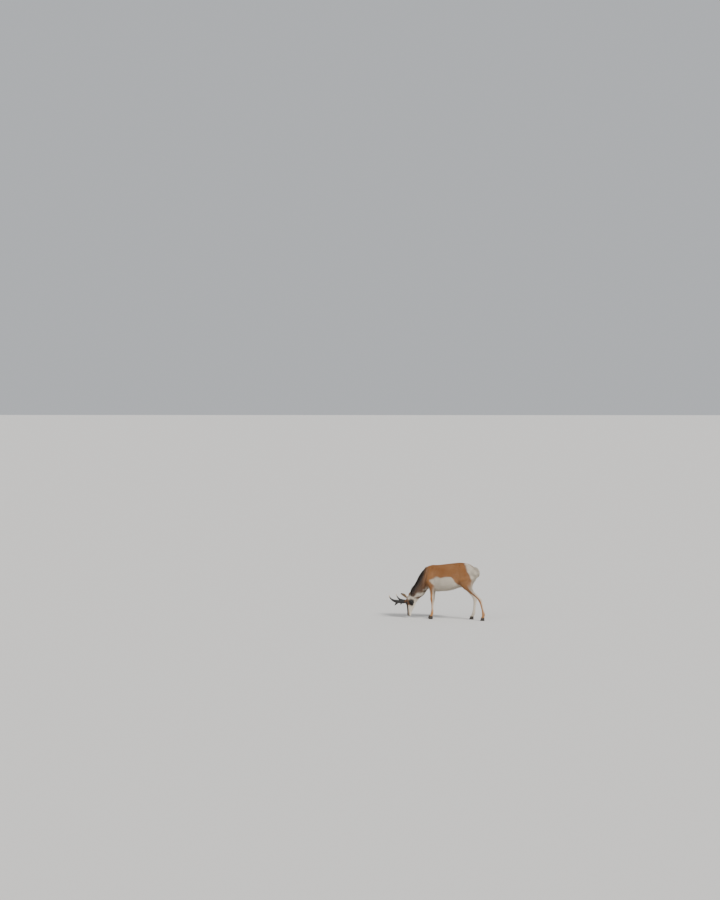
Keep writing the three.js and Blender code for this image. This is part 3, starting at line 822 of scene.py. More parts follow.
def smooth_group(thing: Thing, weights: Array, rounds: int) -> None:
    """Smooths a mesh where the weights say, by a Smooth modifier.

    Args:
        thing: the object.
        weights: a weight from 0 to 1 for each vertex, which is kept to the nearest tenth.
        rounds: how often it is smoothed.
    """
    group = thing.vertex_groups.new(name="smoothing")
    levels = np.round(np.clip(weights, 0, 1) * 10).astype(int)
    for level in range(1, 11):
        members = np.nonzero(levels == level)[0].tolist()
        if members:
            group.add(members, level / 10, "REPLACE")
    apply_modifier(thing, "SMOOTH", vertex_group=group.name, iterations=rounds, factor=0.5)
    thing.vertex_groups.remove(thing.vertex_groups["smoothing"])


def fine_copy(node: str, title: str, voxel: float, rounds: int) -> Thing:
    """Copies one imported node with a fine, even mesh and softened facets.

    Args:
        node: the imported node.
        title: the copy's name.
        voxel: the size of its faces.
        rounds: how often it is smoothed.

    Returns:
        The copy, in the model's frame.
    """
    thing = merged_copy((node,), title)
    remesh(thing, voxel)
    smooth_group(thing, np.ones(len(thing.data.vertices)), rounds)
    return thing


def write_attribute(mesh: bpy.types.Mesh, layer: Layer, values: Array) -> None:
    """Stores one number or one colour for each vertex.

    Args:
        mesh: the mesh.
        layer: what the values are.
        values: a number, or a row of three, for each vertex.
    """
    values = np.asarray(values, np.float32)
    if values.ndim == 1:
        mesh.attributes.new(layer.value, "FLOAT", "POINT").data.foreach_set("value", values)
        return
    rows = np.concatenate([values, np.ones((len(values), 1), np.float32)], axis=1)
    mesh.attributes.new(layer.value, "FLOAT_COLOR", "POINT").data.foreach_set("color", rows.ravel())


def finish_piece(thing: Thing, look: Look, slot: Slot, *nodes: str) -> None:
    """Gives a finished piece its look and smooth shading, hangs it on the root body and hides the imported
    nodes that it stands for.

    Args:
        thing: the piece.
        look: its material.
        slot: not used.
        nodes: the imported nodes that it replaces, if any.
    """
    thing.data.materials.append(look)
    select_only(thing)
    bpy.ops.object.shade_smooth()
    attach(thing, "root")
    if nodes:
        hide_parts(*nodes)
    LOG.info("%s: %d faces", thing.name, len(thing.data.polygons))


@dataclass(frozen=True)
class Relief:
    """A soft rise or pit of the face: its height, its bells forward and dorsally, its edge off the middle."""

    height: float
    forward: Pair
    dorsal: Pair
    side: Pair | None = None

    def at(self, forward: Array, dorsal: Array, side: Array) -> Array:
        """The rise at each place of the head's frame."""
        rise = self.height * hump(*self.forward, forward) * hump(*self.dorsal, dorsal)
        return rise if self.side is None else rise * smooth(*self.side, side)


@dataclass(frozen=True)
class Crease:
    """An upright rise or fold on the trunk: its bell along x slants from a level, and fades up and down."""

    height: float
    along: Pair
    slant: float
    level: float
    upright: Pair

    def at(self, x: Array, z: Array) -> Array:
        """The rise at each place."""
        return self.height * hump(*self.along, x + self.slant * (z - self.level)) * hump(*self.upright, z)


BROW = Relief(0.0030, (0.112, 0.022), (-0.012, 0.009), (0.045, 0.06))
TEAR_PIT = Relief(-0.0035, (0.165, 0.022), (-0.030, 0.014), (0.03, 0.05))
BRIDGE_RIDGE = Relief(0.0018, (0.200, 0.050), (-0.046, 0.008), (0.02, 0.03))
BRIDGE_FURROW = Relief(-0.0016, (0.215, 0.050), (-0.066, 0.009), (0.02, 0.03))
CHEEK = Relief(0.0016, (0.110, 0.036), (-0.100, 0.030))
MOUTH_CORNER = Relief(-0.0024, (0.252, 0.006), (-0.079, 0.006))
FACE_RELIEF = (BROW, TEAR_PIT, BRIDGE_RIDGE, BRIDGE_FURROW, CHEEK, MOUTH_CORNER)

ELBOW_FOLD = Crease(-0.0050, (-0.232, 0.016), 0.12, 0.60, (0.62, 0.10))
FLANK_FOLD = Crease(-0.0042, (0.170, 0.020), 0.55, 0.60, (0.61, 0.07))
SHOULDER_POINT = Crease(0.0030, (-0.34, 0.020), -0.35, 0.70, (0.72, 0.09))
TRUNK_RELIEF = (ELBOW_FOLD, FLANK_FOLD, SHOULDER_POINT)


@dataclass(frozen=True)
class CoatDepth:
    """How far the skin lies inside the solids, which give the coat's own surface."""

    trunk: float = 0.0085
    rump_extra: float = 0.006
    belly_extra: float = 0.002
    belly_z: Pair = (0.60, 0.50)
    nape_extra: float = 0.006
    nape: Pair = (0.05, 0.09)
    nape_x: Pair = (-0.36, -0.42)
    leg: float = 0.0012
    thigh_extra: float = 0.0045
    thigh_z: Pair = (0.36, 0.52)
    tail_share: float = 0.62
    tail_side: Pair = (0.036, 0.024)
    tail_x: Pair = (0.385, 0.430)
    tail_z: Pair = (0.68, 0.72)
    head: float = 0.0022

    def at(self, points: Array) -> Array:
        """The coat's depth.

        Args:
            points: points in the body's frame.

        Returns:
            A depth for each.
        """
        x, y, z = points.T
        legs = on_legs(points).share
        nape = smooth(*self.nape, BODY.nape_height(points)) * smooth(*self.nape_x, x)
        depth = self.trunk + self.rump_extra * MARKINGS.rump.share(points)
        depth = depth + self.belly_extra * smooth(*self.belly_z, z) + self.nape_extra * nape
        depth = depth * (1 - legs) + legs * (self.leg + self.thigh_extra * smooth(*self.thigh_z, z))
        tail = smooth(*self.tail_side, np.abs(y)) * smooth(*self.tail_x, x) * smooth(*self.tail_z, z)
        depth = depth * (1 - self.tail_share * tail)
        head = BODY.headness(points)
        return depth * (1 - head) + head * self.head


@dataclass(frozen=True)
class Nostril:
    """The comma of a nostril in the head's frame: it curves back and up as it leaves the middle."""

    start: Triple = (0.331, -0.054, 0.008)
    sweep: Triple = (-0.029, 0.024, 0.017)
    bend: Pair = (1.2, 0.8)
    half_width: float = 0.0072
    taper: float = 0.0030
    ends: Pair = (0.006, 0.028)
    depth: float = 0.0105
    rim: float = 0.0019

    def rise(self, forward: Array, dorsal: Array, side: Array) -> Array:
        """The pit and its rim.

        Args:
            forward: distances forward in the head's frame.
            dorsal: distances dorsally.
            side: distances from the middle plane.

        Returns:
            The rise at each place, below 0 in the pit.
        """
        t = np.clip((side - self.start[2]) / self.sweep[2], 0, 1)
        away_forward = forward - (self.start[0] + self.sweep[0] * t ** self.bend[0])
        away_dorsal = dorsal - (self.start[1] + self.sweep[1] * t ** self.bend[1])
        past = np.maximum(np.maximum(self.ends[0] - side, side - self.ends[1]), 0)
        share = np.hypot(np.hypot(away_forward, away_dorsal), 2 * past) / (self.half_width - self.taper * t)
        return self.rim * hump(1.45, 0.34, share) * (share > 0.9) - self.depth * smooth(1.0, 0.35, share)


@dataclass(frozen=True)
class Lids:
    """The lids round an eyeball: their opening narrows to its corners, and its rim and fold stand out."""

    reach: float = 0.045
    narrowing: float = 0.26
    lower_share: float = 0.86
    thickness: float = 0.0019
    rim: float = 0.0009
    fold: float = 0.0012
    crease: float = 0.0013
    sink: float = 0.0035

    def shape(self, points: Array, side: Side) -> Array:
        """Sinks the skin behind the eyeball inside the opening and rolls the lids round it.

        Args:
            points: the skin's points in the body's frame.
            side: which eye.

        Returns:
            The moved points.
        """
        centre = EYE.centre(side)
        out, along, brow = EYE.axes(side)
        away = points - centre
        distance = np.linalg.norm(away, axis=1)
        a, b = away @ along, away @ brow
        near = (distance < self.reach) & (away @ out > 0)
        lean = 1 - self.narrowing * np.clip(a / EYE.half_length, -1, 1) ** 2
        across = EYE.half_height * lean * np.where(b > 0, 1.0, self.lower_share)
        m = np.hypot(a / EYE.half_length, b / across)
        lid = EYE.radius + self.thickness + self.rim * hump(1.12, 0.12, m)
        lid = lid + self.fold * (b > 0) * hump(1.55, 0.18, m) - self.crease * hump(1.36, 0.07, m)
        target = np.where(m < 1.0, EYE.radius - self.sink * smooth(1.0, 0.80, m), lid)
        weight = np.where(m < 1.0, 1.0, smooth(2.1, 1.35, m)) * near
        radius = distance + (target - distance) * weight
        return centre + away * (radius / np.maximum(distance, 1e-6))[:, None]


@dataclass
class Skin:
    """The one skin over all flesh: remeshed from the solids, drawn in by the coat's depth and detailed."""

    voxel: float = 0.0060
    nape_rounds: int = 110
    trunk_rounds: int = 26
    head_rounds: int = 8
    muzzle_rounds: int = 14
    muzzle_squeeze: float = 0.17
    jaw_groove: float = 0.0022
    lip_line: float = 0.0042
    lip_roll: Pair = (0.0017, 0.0014)
    rib_height: float = 0.0009
    rib_spacing: float = 0.034
    tendon_groove: float = 0.0016
    joint_rise: float = 0.0022
    depth: CoatDepth = CoatDepth()
    nostril: Nostril = Nostril()
    lids: Lids = Lids()

    def build(self, hide: Look) -> Thing:
        """Makes the skin, which stands for all flesh.

        Args:
            hide: its material.

        Returns:
            The finished skin, in the model's frame.
        """
        self.thing = merged_copy(FLESH + ("eye_left", "eye_right"), "skin")
        remesh(self.thing, self.voxel)
        self.keep_largest()
        self.settle()
        self.refine()
        self.draw_in()
        self.narrow_muzzle()
        self.shape_face()
        self.shape_body()
        points = BODY.own(coordinates(self.thing))
        write_attribute(self.thing.data, Layer.COAT, MARKINGS.colour(points))
        write_attribute(self.thing.data, Layer.BARE, bareness(points))
        finish_piece(self.thing, hide, Slot.SKIN, *FLESH)
        return self.thing

    def keep_largest(self) -> None:
        """Drops every shell but the outer one, such as a sliver sealed between two nodes."""
        mesh = bmesh.new()
        mesh.from_mesh(self.thing.data)
        left = set(mesh.verts)
        shells = []
        while left:
            stack = [left.pop()]
            shell = []
            while stack:
                vert = stack.pop()
                shell.append(vert)
                for edge in vert.link_edges:
                    other = edge.other_vert(vert)
                    if other in left:
                        left.remove(other)
                        stack.append(other)
            shells.append(shell)
        shells.sort(key=len)
        for shell in shells[:-1]:
            bmesh.ops.delete(mesh, geom=shell, context="VERTS")
        mesh.to_mesh(self.thing.data)
        mesh.free()

    def settle(self) -> None:
        """Smooths the solids' facets and creases away, most on the nape, where locks were."""
        points = BODY.own(coordinates(self.thing))
        nape = smooth(0.050, 0.075, BODY.nape_height(points)) * smooth(-0.34, -0.40, points[:, 0])
        smooth_group(self.thing, nape * (1 - BODY.headness(points)), self.nape_rounds)
        points = BODY.own(coordinates(self.thing))
        trunk = smooth(0.30, 0.50, points[:, 2]) * (1 - BODY.headness(points))
        smooth_group(self.thing, trunk, self.trunk_rounds)
        head = BODY.headness(BODY.own(coordinates(self.thing)))
        smooth_group(self.thing, np.maximum(0.35 * (1 - trunk), head * 0.9), self.head_rounds)

    def refine(self) -> None:
        """Splits the head's faces once, and those round its eyes, nose and mouth again."""
        for chosen_by in (self.on_head, self.on_features):
            mesh = bmesh.new()
            mesh.from_mesh(self.thing.data)
            centres = np.array([face.calc_center_median()[:] for face in mesh.faces])
            chosen = chosen_by(BODY.own(centres))
            mesh.faces.ensure_lookup_table()
            edges = {edge for i in np.nonzero(chosen)[0] for edge in mesh.faces[i].edges}
            bmesh.ops.subdivide_edges(mesh, edges=list(edges), cuts=1, use_grid_fill=True)
            mesh.to_mesh(self.thing.data)
            mesh.free()

    def on_head(self, points: Array) -> Array:
        """Which points lie on the head."""
        return BODY.headness(points) > 0.5

    def on_features(self, points: Array) -> Array:
        """Which points lie round the eyes, the nose or the mouth.

        Args:
            points: points in the body's frame.

        Returns:
            True or False for each.
        """
        forward, dorsal, lateral = BODY.head(points).T
        eye = np.hypot(forward - EYE.forward, dorsal - EYE.dorsal) < 0.040
        muzzle = (forward > 0.245) & (dorsal > -0.095)
        return self.on_head(points) & ((eye & (np.abs(lateral) > 0.035)) | muzzle)

    def draw_in(self) -> None:
        """Moves the skin inwards by the coat's depth, but leaves the coronets where they meet the hooves."""
        world = coordinates(self.thing)
        points = BODY.own(world)
        amount = self.depth.at(points) * smooth(0.045, 0.070, points[:, 2])
        set_coordinates(self.thing, world - vertex_normals(self.thing) * amount[:, None])

    def narrow_muzzle(self) -> None:
        """Smooths the end of the muzzle and draws its sides in towards the lips."""
        points = BODY.own(coordinates(self.thing))
        ahead = smooth(0.262, 0.285, BODY.head(points)[:, 0])
        smooth_group(self.thing, ahead * BODY.headness(points), self.muzzle_rounds)
        points = BODY.own(coordinates(self.thing))
        spots = BODY.head(points)
        squeeze = self.muzzle_squeeze * smooth(0.255, 0.330, spots[:, 0]) * BODY.headness(points)
        spots[:, 2] *= 1 - squeeze
        set_coordinates(self.thing, BODY.from_head(spots) + BODY.shift)

    def shape_face(self) -> None:
        """Sculpts lids, brow, nostrils, lips and the folds of the face in the head's frame."""
        points = BODY.own(coordinates(self.thing))
        normals = vertex_normals(self.thing)
        forward, dorsal, lateral = BODY.head(points).T
        side = np.abs(lateral)
        rise = sum(relief.at(forward, dorsal, side) for relief in FACE_RELIEF)
        groove = hump(0.052, 0.006, forward + 0.25 * (dorsal + 0.10))
        rise = rise - self.jaw_groove * groove * smooth(0.03, 0.05, side)
        gap = dorsal - mouth_line(forward)
        along = smooth(0.252, 0.266, forward)
        upper, lower = self.lip_roll
        rise = rise - along * (self.lip_line * hump(0.0, 0.0016, gap) - upper * hump(0.006, 0.0042, gap))
        rise = rise + along * lower * hump(-0.0065, 0.0045, gap)
        cleft = smooth(0.312, 0.328, forward) * hump(0.0, 0.0016, lateral) * smooth(-0.060, -0.050, dorsal)
        rise = rise - 0.0024 * cleft + self.nostril.rise(forward, dorsal, side)
        moved = points + normals * (rise * BODY.headness(points))[:, None]
        for which in Side:
            moved = self.lids.shape(moved, which)
        set_coordinates(self.thing, moved + BODY.shift)

    def shape_body(self) -> None:
        """Adds ribs, tendons, joints and skin folds too fine for the solids."""
        world = coordinates(self.thing)
        points = BODY.own(world)
        x, y, z = points.T
        legs = on_legs(points)
        ribs = self.rib_height * np.sin((x + 0.22 * (z - 0.65)) * (2 * math.pi / self.rib_spacing))
        cage = smooth(-0.23, -0.17, x) * smooth(0.10, 0.02, x) * hump(0.64, 0.11, z)
        ribs = ribs * cage * smooth(0.07, 0.10, np.abs(y))
        trunk = (1 - BODY.headness(points)) * (1 - legs.share)
        rise = trunk * (ribs + sum(crease.at(x, z) for crease in TRUNK_RELIEF))
        low = legs.share * smooth(0.05, 0.07, z)
        tendon = hump(0.0, 0.35, legs.behind + 0.55) * smooth(0.10, 0.13, z) * smooth(0.30, 0.27, z)
        knee = hump(0.330, 0.022, z) * legs.fore * smooth(0.2, -0.6, legs.behind)
        fetlock = hump(0.085, 0.014, z) * smooth(0.2, 0.8, legs.behind)
        rise = rise + low * (self.joint_rise * (knee + fetlock) - self.tendon_groove * tendon)
        set_coordinates(self.thing, world + vertex_normals(self.thing) * rise[:, None])


class Maths:
    """Wraps a socket so that shader maths reads as an expression."""

    def __init__(self, tree: bpy.types.NodeTree, socket: object) -> None:
        """Keeps the tree and the socket, or plain number, that stands for a value."""
        self.tree = tree
        self.socket = socket

    def _node(self, operation: str, other: object, swap: bool = False) -> "Maths":
        """Adds one Math node of this value and another.

        Args:
            operation: the node's operation.
            other: the other value, or a plain number.
            swap: whether the other comes first.

        Returns:
            The node's value.
        """
        node = self.tree.nodes.new("ShaderNodeMath")
        node.operation = operation
        pair = (other, self) if swap else (self, other)
        for i, item in enumerate(pair):
            value = item.socket if isinstance(item, Maths) else item
            if isinstance(value, Socket):
                self.tree.links.new(value, node.inputs[i])
            else:
                node.inputs[i].default_value = value
        return Maths(self.tree, node.outputs[0])

    def __add__(self, other: object) -> "Maths":
        """This value plus another, in either order."""
        return self._node("ADD", other)

    __radd__ = __add__

    def __sub__(self, other: object) -> "Maths":
        """This value less another."""
        return self._node("SUBTRACT", other)

    def __rsub__(self, other: object) -> "Maths":
        """A number less this value."""
        return self._node("SUBTRACT", other, swap=True)

    def __mul__(self, other: object) -> "Maths":
        """This value times another, in either order."""
        return self._node("MULTIPLY", other)

    __rmul__ = __mul__

    def __pow__(self, other: object) -> "Maths":
        """This value to a power."""
        return self._node("POWER", other)

    def clamp(self) -> "Maths":
        """This value kept from 0 to 1."""
        return self._node("MINIMUM", 1.0)._node("MAXIMUM", 0.0)


class Shader:
    """A material's node tree, with the few ways of adding to it that the finishes use."""

    def __init__(self, title: str) -> None:
        """Starts a material with a Principled surface.

        Args:
            title: the material's name.
        """
        self.material = bpy.data.materials.new(title)
        self.material.use_nodes = True
        self.tree = self.material.node_tree
        self.surface = self.tree.nodes["Principled BSDF"]

    def node(self, kind: str, settings: dict | None = None, **sockets: object) -> bpy.types.Node:
        """Adds a node.

        Args:
            kind: the node's type.
            settings: its settings, set first.
            sockets: values or links of its inputs, by name with _ for a space.

        Returns:
            The node.
        """
        made = self.tree.nodes.new(kind)
        for name, value in (settings or {}).items():
            setattr(made, name, value)
        for name, value in sockets.items():
            self.feed(made.inputs[name.replace("_", " ")], value)
        return made

    def feed(self, socket: Socket, value: object) -> None:
        """Links a value's socket to an input, or sets the input to a plain value.

        Args:
            socket: the input.
            value: a value of an expression, a socket, a number or a colour.
        """
        value = value.socket if isinstance(value, Maths) else value
        if isinstance(value, Socket):
            self.tree.links.new(value, socket)
        else:
            socket.default_value = value

    def place(self, scale: Triple = (1.0, 1.0, 1.0)) -> Socket:
        """Object coordinates, stretched by a scale for each axis."""
        spot = self.node("ShaderNodeTexCoord")
        return self.node("ShaderNodeMapping", Vector=spot.outputs["Object"], Scale=scale).outputs["Vector"]

    def noise(self, scale: float, detail: float, stretch: Triple = (1.0, 1.0, 1.0)) -> Maths:
        """A noise value over the object."""
        made = self.node("ShaderNodeTexNoise", Vector=self.place(stretch), Scale=scale, Detail=detail)
        return Maths(self.tree, made.outputs["Fac"])

    def number(self, layer: Layer) -> Maths:
        """A number stored on the mesh."""
        made = self.node("ShaderNodeAttribute", {"attribute_name": layer.value})
        return Maths(self.tree, made.outputs["Fac"])

    def coat(self) -> Socket:
        """The coat's colour, stored on the mesh."""
        return self.node("ShaderNodeAttribute", {"attribute_name": Layer.COAT.value}).outputs["Color"]

    def mix(self, share: object, first: object, second: object, mode: str = "MIX") -> Socket:
        """Mixes two colours.

        Args:
            share: how much of the second shows.
            first: the first colour.
            second: the second colour.
            mode: how they mix.

        Returns:
            The mixed colour.
        """
        made = self.node("ShaderNodeMix", {"data_type": "RGBA", "blend_type": mode})
        colours = [socket for socket in made.inputs if socket.type == "RGBA"]
        self.feed(made.inputs[0], share)
        for socket, colour in zip(colours, (first, second)):
            self.feed(socket, (*colour, 1.0) if isinstance(colour, tuple) else colour)
        return next(socket for socket in made.outputs if socket.type == "RGBA")

    def shaded(self, colour: Socket, shade: Maths) -> Socket:
        """A colour darkened by a shade from 0 to 1."""
        grey = self.node("ShaderNodeCombineColor", Red=shade, Green=shade, Blue=shade)
        return self.mix(1.0, colour, grey.outputs["Color"], "MULTIPLY")

    def bump(self, height: Maths, strength: float, distance: float) -> None:
        """Bumps the surface by a height."""
        made = self.node("ShaderNodeBump", Height=height, Strength=strength, Distance=distance)
        self.feed(self.surface.inputs["Normal"], made.outputs["Normal"])

    def set(self, **values: object) -> None:
        """Sets or links inputs of the surface, by name with _ for a space."""
        for name, value in values.items():
            self.feed(self.surface.inputs[name.replace("_", " ")], value)


@dataclass(frozen=True)
class FurFinish:
    """Hair: the coat's colour with painted shade darkening each tuft towards its root, a little paler at the
    tip, uneven from tuft to tuft.
    """

    title: str = "fur"
    root_painted_shade: float = 0.45
    tip: Triple = (0.72, 0.62, 0.48)
    tip_start: float = 0.55
    roughness: float = 0.78
    specular: float = 0.25
    sheen: float = 0.18
    sheen_roughness: float = 0.4

    def make(self) -> Look:
        """Builds the material.

        Returns:
            The material.
        """
        look = Shader(self.title)
        along = look.number(Layer.ALONG)
        tone = look.number(Layer.TONE)
        # Painted shade: each tuft is darkened towards its root, where the tufts shade one another; the tone
        # and the noise add uneven colour from tuft to tuft.
        shade = (self.root_painted_shade + (1 - self.root_painted_shade) * along ** 0.6) * (0.80 + 0.40 * tone)
        shade = shade * (0.86 + 0.28 * look.noise(70.0, 3.0))
        base = look.coat()
        pale = look.mix(0.10, base, self.tip)
        colour = look.mix((along - self.tip_start).clamp() * 0.5, look.shaded(base, shade), pale)
        look.set(Base_Color=colour, Roughness=self.roughness, Specular_IOR_Level=self.specular)
        look.set(Sheen_Weight=self.sheen, Sheen_Roughness=self.sheen_roughness)
        return look.material


@dataclass(frozen=True)
class SkinFinish:
    """Skin under the coat: short flat hair as bump, and bare wet skin at the nose, lips and lid rims."""

    title: str = "hide"
    leather_dark: Triple = (0.010, 0.008, 0.007)
    leather_pale: Triple = (0.030, 0.024, 0.021)
    hair_roughness: float = 0.80
    leather_gloss: float = 0.42
    specular: float = 0.35

    def make(self) -> Look:
        """Builds the material.

        Returns:
            The material.
        """
        look = Shader(self.title)
        bare = look.number(Layer.BARE)
        strands = look.noise(420.0, 4.0, (1.0, 1.0, 0.22))
        mottle = look.noise(45.0, 4.0)
        cells = look.node("ShaderNodeTexVoronoi", Vector=look.place(), Scale=620.0)
        pores = Maths(look.tree, cells.outputs["Distance"])
        hair = look.shaded(look.coat(), 0.62 + 0.38 * strands * (0.8 + 0.4 * mottle))
        leather = look.mix(pores, self.leather_dark, self.leather_pale)
        look.set(Base_Color=look.mix(bare, hair, leather), Specular_IOR_Level=self.specular)
        look.set(Roughness=self.hair_roughness - self.leather_gloss * bare)
        look.bump(strands * (1 - bare) + pores * bare * 0.35, strength=0.55, distance=0.0016)
        return look.material


@dataclass(frozen=True)
class HornFinish:
    """Black horn sheath: fibrous and rough below, polished above, with an ivory tip."""

    title: str = "horn_sheath"
    black: Triple = (0.007, 0.006, 0.0055)
    fibre: Triple = (0.020, 0.016, 0.013)
    worn: Triple = (0.060, 0.042, 0.030)
    ivory: Triple = (0.46, 0.33, 0.19)
    specular: float = 0.45

    def make(self) -> Look:
        """Builds the material.

        Returns:
            The material.
        """
        look = Shader(self.title)
        rise = look.number(Layer.RISE)
        fibre = look.noise(150.0, 5.0, (0.10, 1.0, 1.0))
        grain = look.noise(34.0, 4.0)
        dark = look.mix(fibre, self.black, self.fibre)
        worn = look.mix((grain * 1.6 - 0.75).clamp() * (1 - rise), dark, self.worn)
        tip = (rise * 16.0 - 14.6 + 1.6 * (grain - 0.5)).clamp()
        look.set(Base_Color=look.mix(tip, worn, self.ivory), Specular_IOR_Level=self.specular)
        look.set(Roughness=0.62 - 0.28 * rise + 0.14 * (grain - 0.5))
        look.bump(fibre * (1.1 - rise) + 0.3 * grain, strength=0.6, distance=0.0022)
        return look.material


@dataclass(frozen=True)
class HoofFinish:
    """Dark hoof horn with level growth rings, scuffed and dusty in places."""

    title: str = "hoof_horn"
    dark: Triple = (0.010, 0.008, 0.007)
    streak: Triple = (0.045, 0.034, 0.026)
    dust: Triple = (0.14, 0.11, 0.08)
    specular: float = 0.4

    def make(self) -> Look:
        """Builds the material.

        Returns:
            The material.
        """
        look = Shader(self.title)
        rings = look.noise(230.0, 2.0, (0.08, 0.08, 1.0))
        streak = look.noise(260.0, 3.0, (1.0, 1.0, 0.12))
        scuff = look.noise(60.0, 5.0)
        dark = look.mix(streak, self.dark, self.streak)
        dusty = look.mix((scuff * 2.2 - 1.05).clamp(), dark, self.dust)
        look.set(Base_Color=dusty, Roughness=0.40 + 0.35 * scuff, Specular_IOR_Level=self.specular)
        look.bump(rings + 0.4 * streak, strength=0.45, distance=0.0012)
        return look.material


@dataclass(frozen=True)
class EyeFinish:
    """A wet, dark eye: a wide level pupil in a deep brown iris, under a clear coat."""

    title: str = "eyeball"
    iris_dark: Triple = (0.012, 0.005, 0.002)
    iris_pale: Triple = (0.034, 0.015, 0.006)
    rim: Triple = (0.016, 0.009, 0.007)
    pupil: Triple = (0.002, 0.002, 0.003)
    roughness: float = 0.09
    specular: float = 0.22
    clear_coat: float = 0.12
    clear_coat_roughness: float = 0.03

    def make(self) -> Look:
        """Builds the material.

        Returns:
            The material.
        """
        look = Shader(self.title)
        brown = look.mix(look.noise(500.0, 3.0), self.iris_dark, self.iris_pale)
        shown = look.mix(look.number(Layer.IRIS), self.rim, brown)
        look.set(Base_Color=look.mix(look.number(Layer.PUPIL), shown, self.pupil))
        look.set(Roughness=self.roughness, Specular_IOR_Level=self.specular)
        look.set(Coat_Weight=self.clear_coat, Coat_Roughness=self.clear_coat_roughness)
        return look.material


@dataclass(frozen=True)
class LashFinish:
    """Stiff black lashes."""

    title: str = "lash_hair"
    dark: Triple = (0.004, 0.003, 0.003)
    pale: Triple = (0.016, 0.011, 0.008)

    def make(self) -> Look:
        """Builds the material.

        Returns:
            The material.
        """
        look = Shader(self.title)
        grain = look.noise(300.0, 2.0)
        look.set(Base_Color=look.mix(grain, self.dark, self.pale), Roughness=0.45 + 0.1 * grain)
        return look.material


@dataclass
class Ground:
    """Roots on a surface: where each tuft starts, the surface's way out there and the lie of the hair."""

    points: Array
    normals: Array
    lie: Array


@dataclass(frozen=True)
class Lie:
    """The lie of the coat. Each way is towards +x, away from the middle plane and towards +z."""

    rump: Triple = (0.35, 0.45, -1.0)
    rump_x: Pair = (0.30, 0.40)
    haunch: Triple = (0.40, 0.0, -1.0)
    haunch_x: Pair = (0.12, 0.20)
    haunch_z: Pair = (0.78, 0.60)
    shoulder: Triple = (0.38, 0.0, -1.0)
    shoulder_x: Pair = (-0.20, -0.28)
    shoulder_z: Pair = (0.74, 0.58)
    neck_x: Pair = (-0.30, -0.42)
    brisket_z: Pair = (0.62, 0.50)
    brisket_x: Pair = (-0.42, -0.36)
    cheek_fan: float = 0.55
    head_spread: float = 0.25

    def at(self, points: Array, normals: Array) -> Array:
        """Finds which way the hair points.

        Args:
            points: places in the body's frame.
            normals: the surface's ways out there.

        Returns:
            One unit row for each place, at right angles to its normal.
        """
        x, y, z = points.T
        side = np.sign(y)
        height = BODY.nape_height(points)
        legs = on_legs(points)
        way = unit(self.ways(1.0, 0.10 * side, -0.22 - 0.55 * smooth(0.80, 0.60, z)))
        layers = (
            (self.ways(self.rump[0], self.rump[1] * side, self.rump[2]), smooth(*self.rump_x, x)),
            (self.ways(*self.haunch, len(x)), smooth(*self.haunch_x, x) * smooth(*self.haunch_z, z)),
            (self.ways(*self.shoulder, len(x)), smooth(*self.shoulder_x, x) * smooth(*self.shoulder_z, z)),
            (self.ways(0.55 + 0.15 * (height < 0), 0.12 * side, 0.72 - 1.1 * smooth(0.03, -0.10, height)),
             smooth(*self.neck_x, x) * (1 - smooth(*self.brisket_z, z) * smooth(*self.brisket_x, x))),
            (self.ways(0.18 + 0.10 * legs.behind, 0.05 * side, -1.0), legs.share),
            self.on_head(points),
        )
        for over, share in layers:
            way = blend_rows(way, unit(over), share)
        return along_surface(way, normals)

    def ways(self, x: object, y: object, z: object, count: int = 1) -> Array:
        """Rows of ways from three parts, each a number or a row of numbers."""
        return np.stack(np.broadcast_arrays(x, y, z, np.ones(count))[:3], axis=1)

    def on_head(self, points: Array) -> tuple[Array, Array]:
        """The lie of the head's hair, which points back from the nose and fans out over the cheeks.

        Args:
            points: places in the body's frame.

        Returns:
            The ways, and how much of them each place takes.
        """
        forward, dorsal, lateral = BODY.head(points).T
        fan = self.cheek_fan * smooth(-0.06, -0.14, dorsal) * smooth(0.05, 0.12, forward)
        way = -BODY.forward[None, :] - BODY.dorsal[None, :] * fan[:, None]
        way = way + BODY.lateral[None, :] * (self.head_spread * np.sign(lateral))[:, None]
        crown = smooth(0.10, 0.04, forward) * smooth(-0.05, -0.02, dorsal)
        return way, BODY.headness(points) * (1 - 0.3 * crown)


LIE = Lie()


@dataclass(frozen=True)
class Wool:
    """How a stretch of coat looks: sizes of a tuft, how it stands, and how many grow on a square metre."""

    length: float
    width: float
    lift: float
    density: float
    scatter: float = 0.16
    rings: int = 2


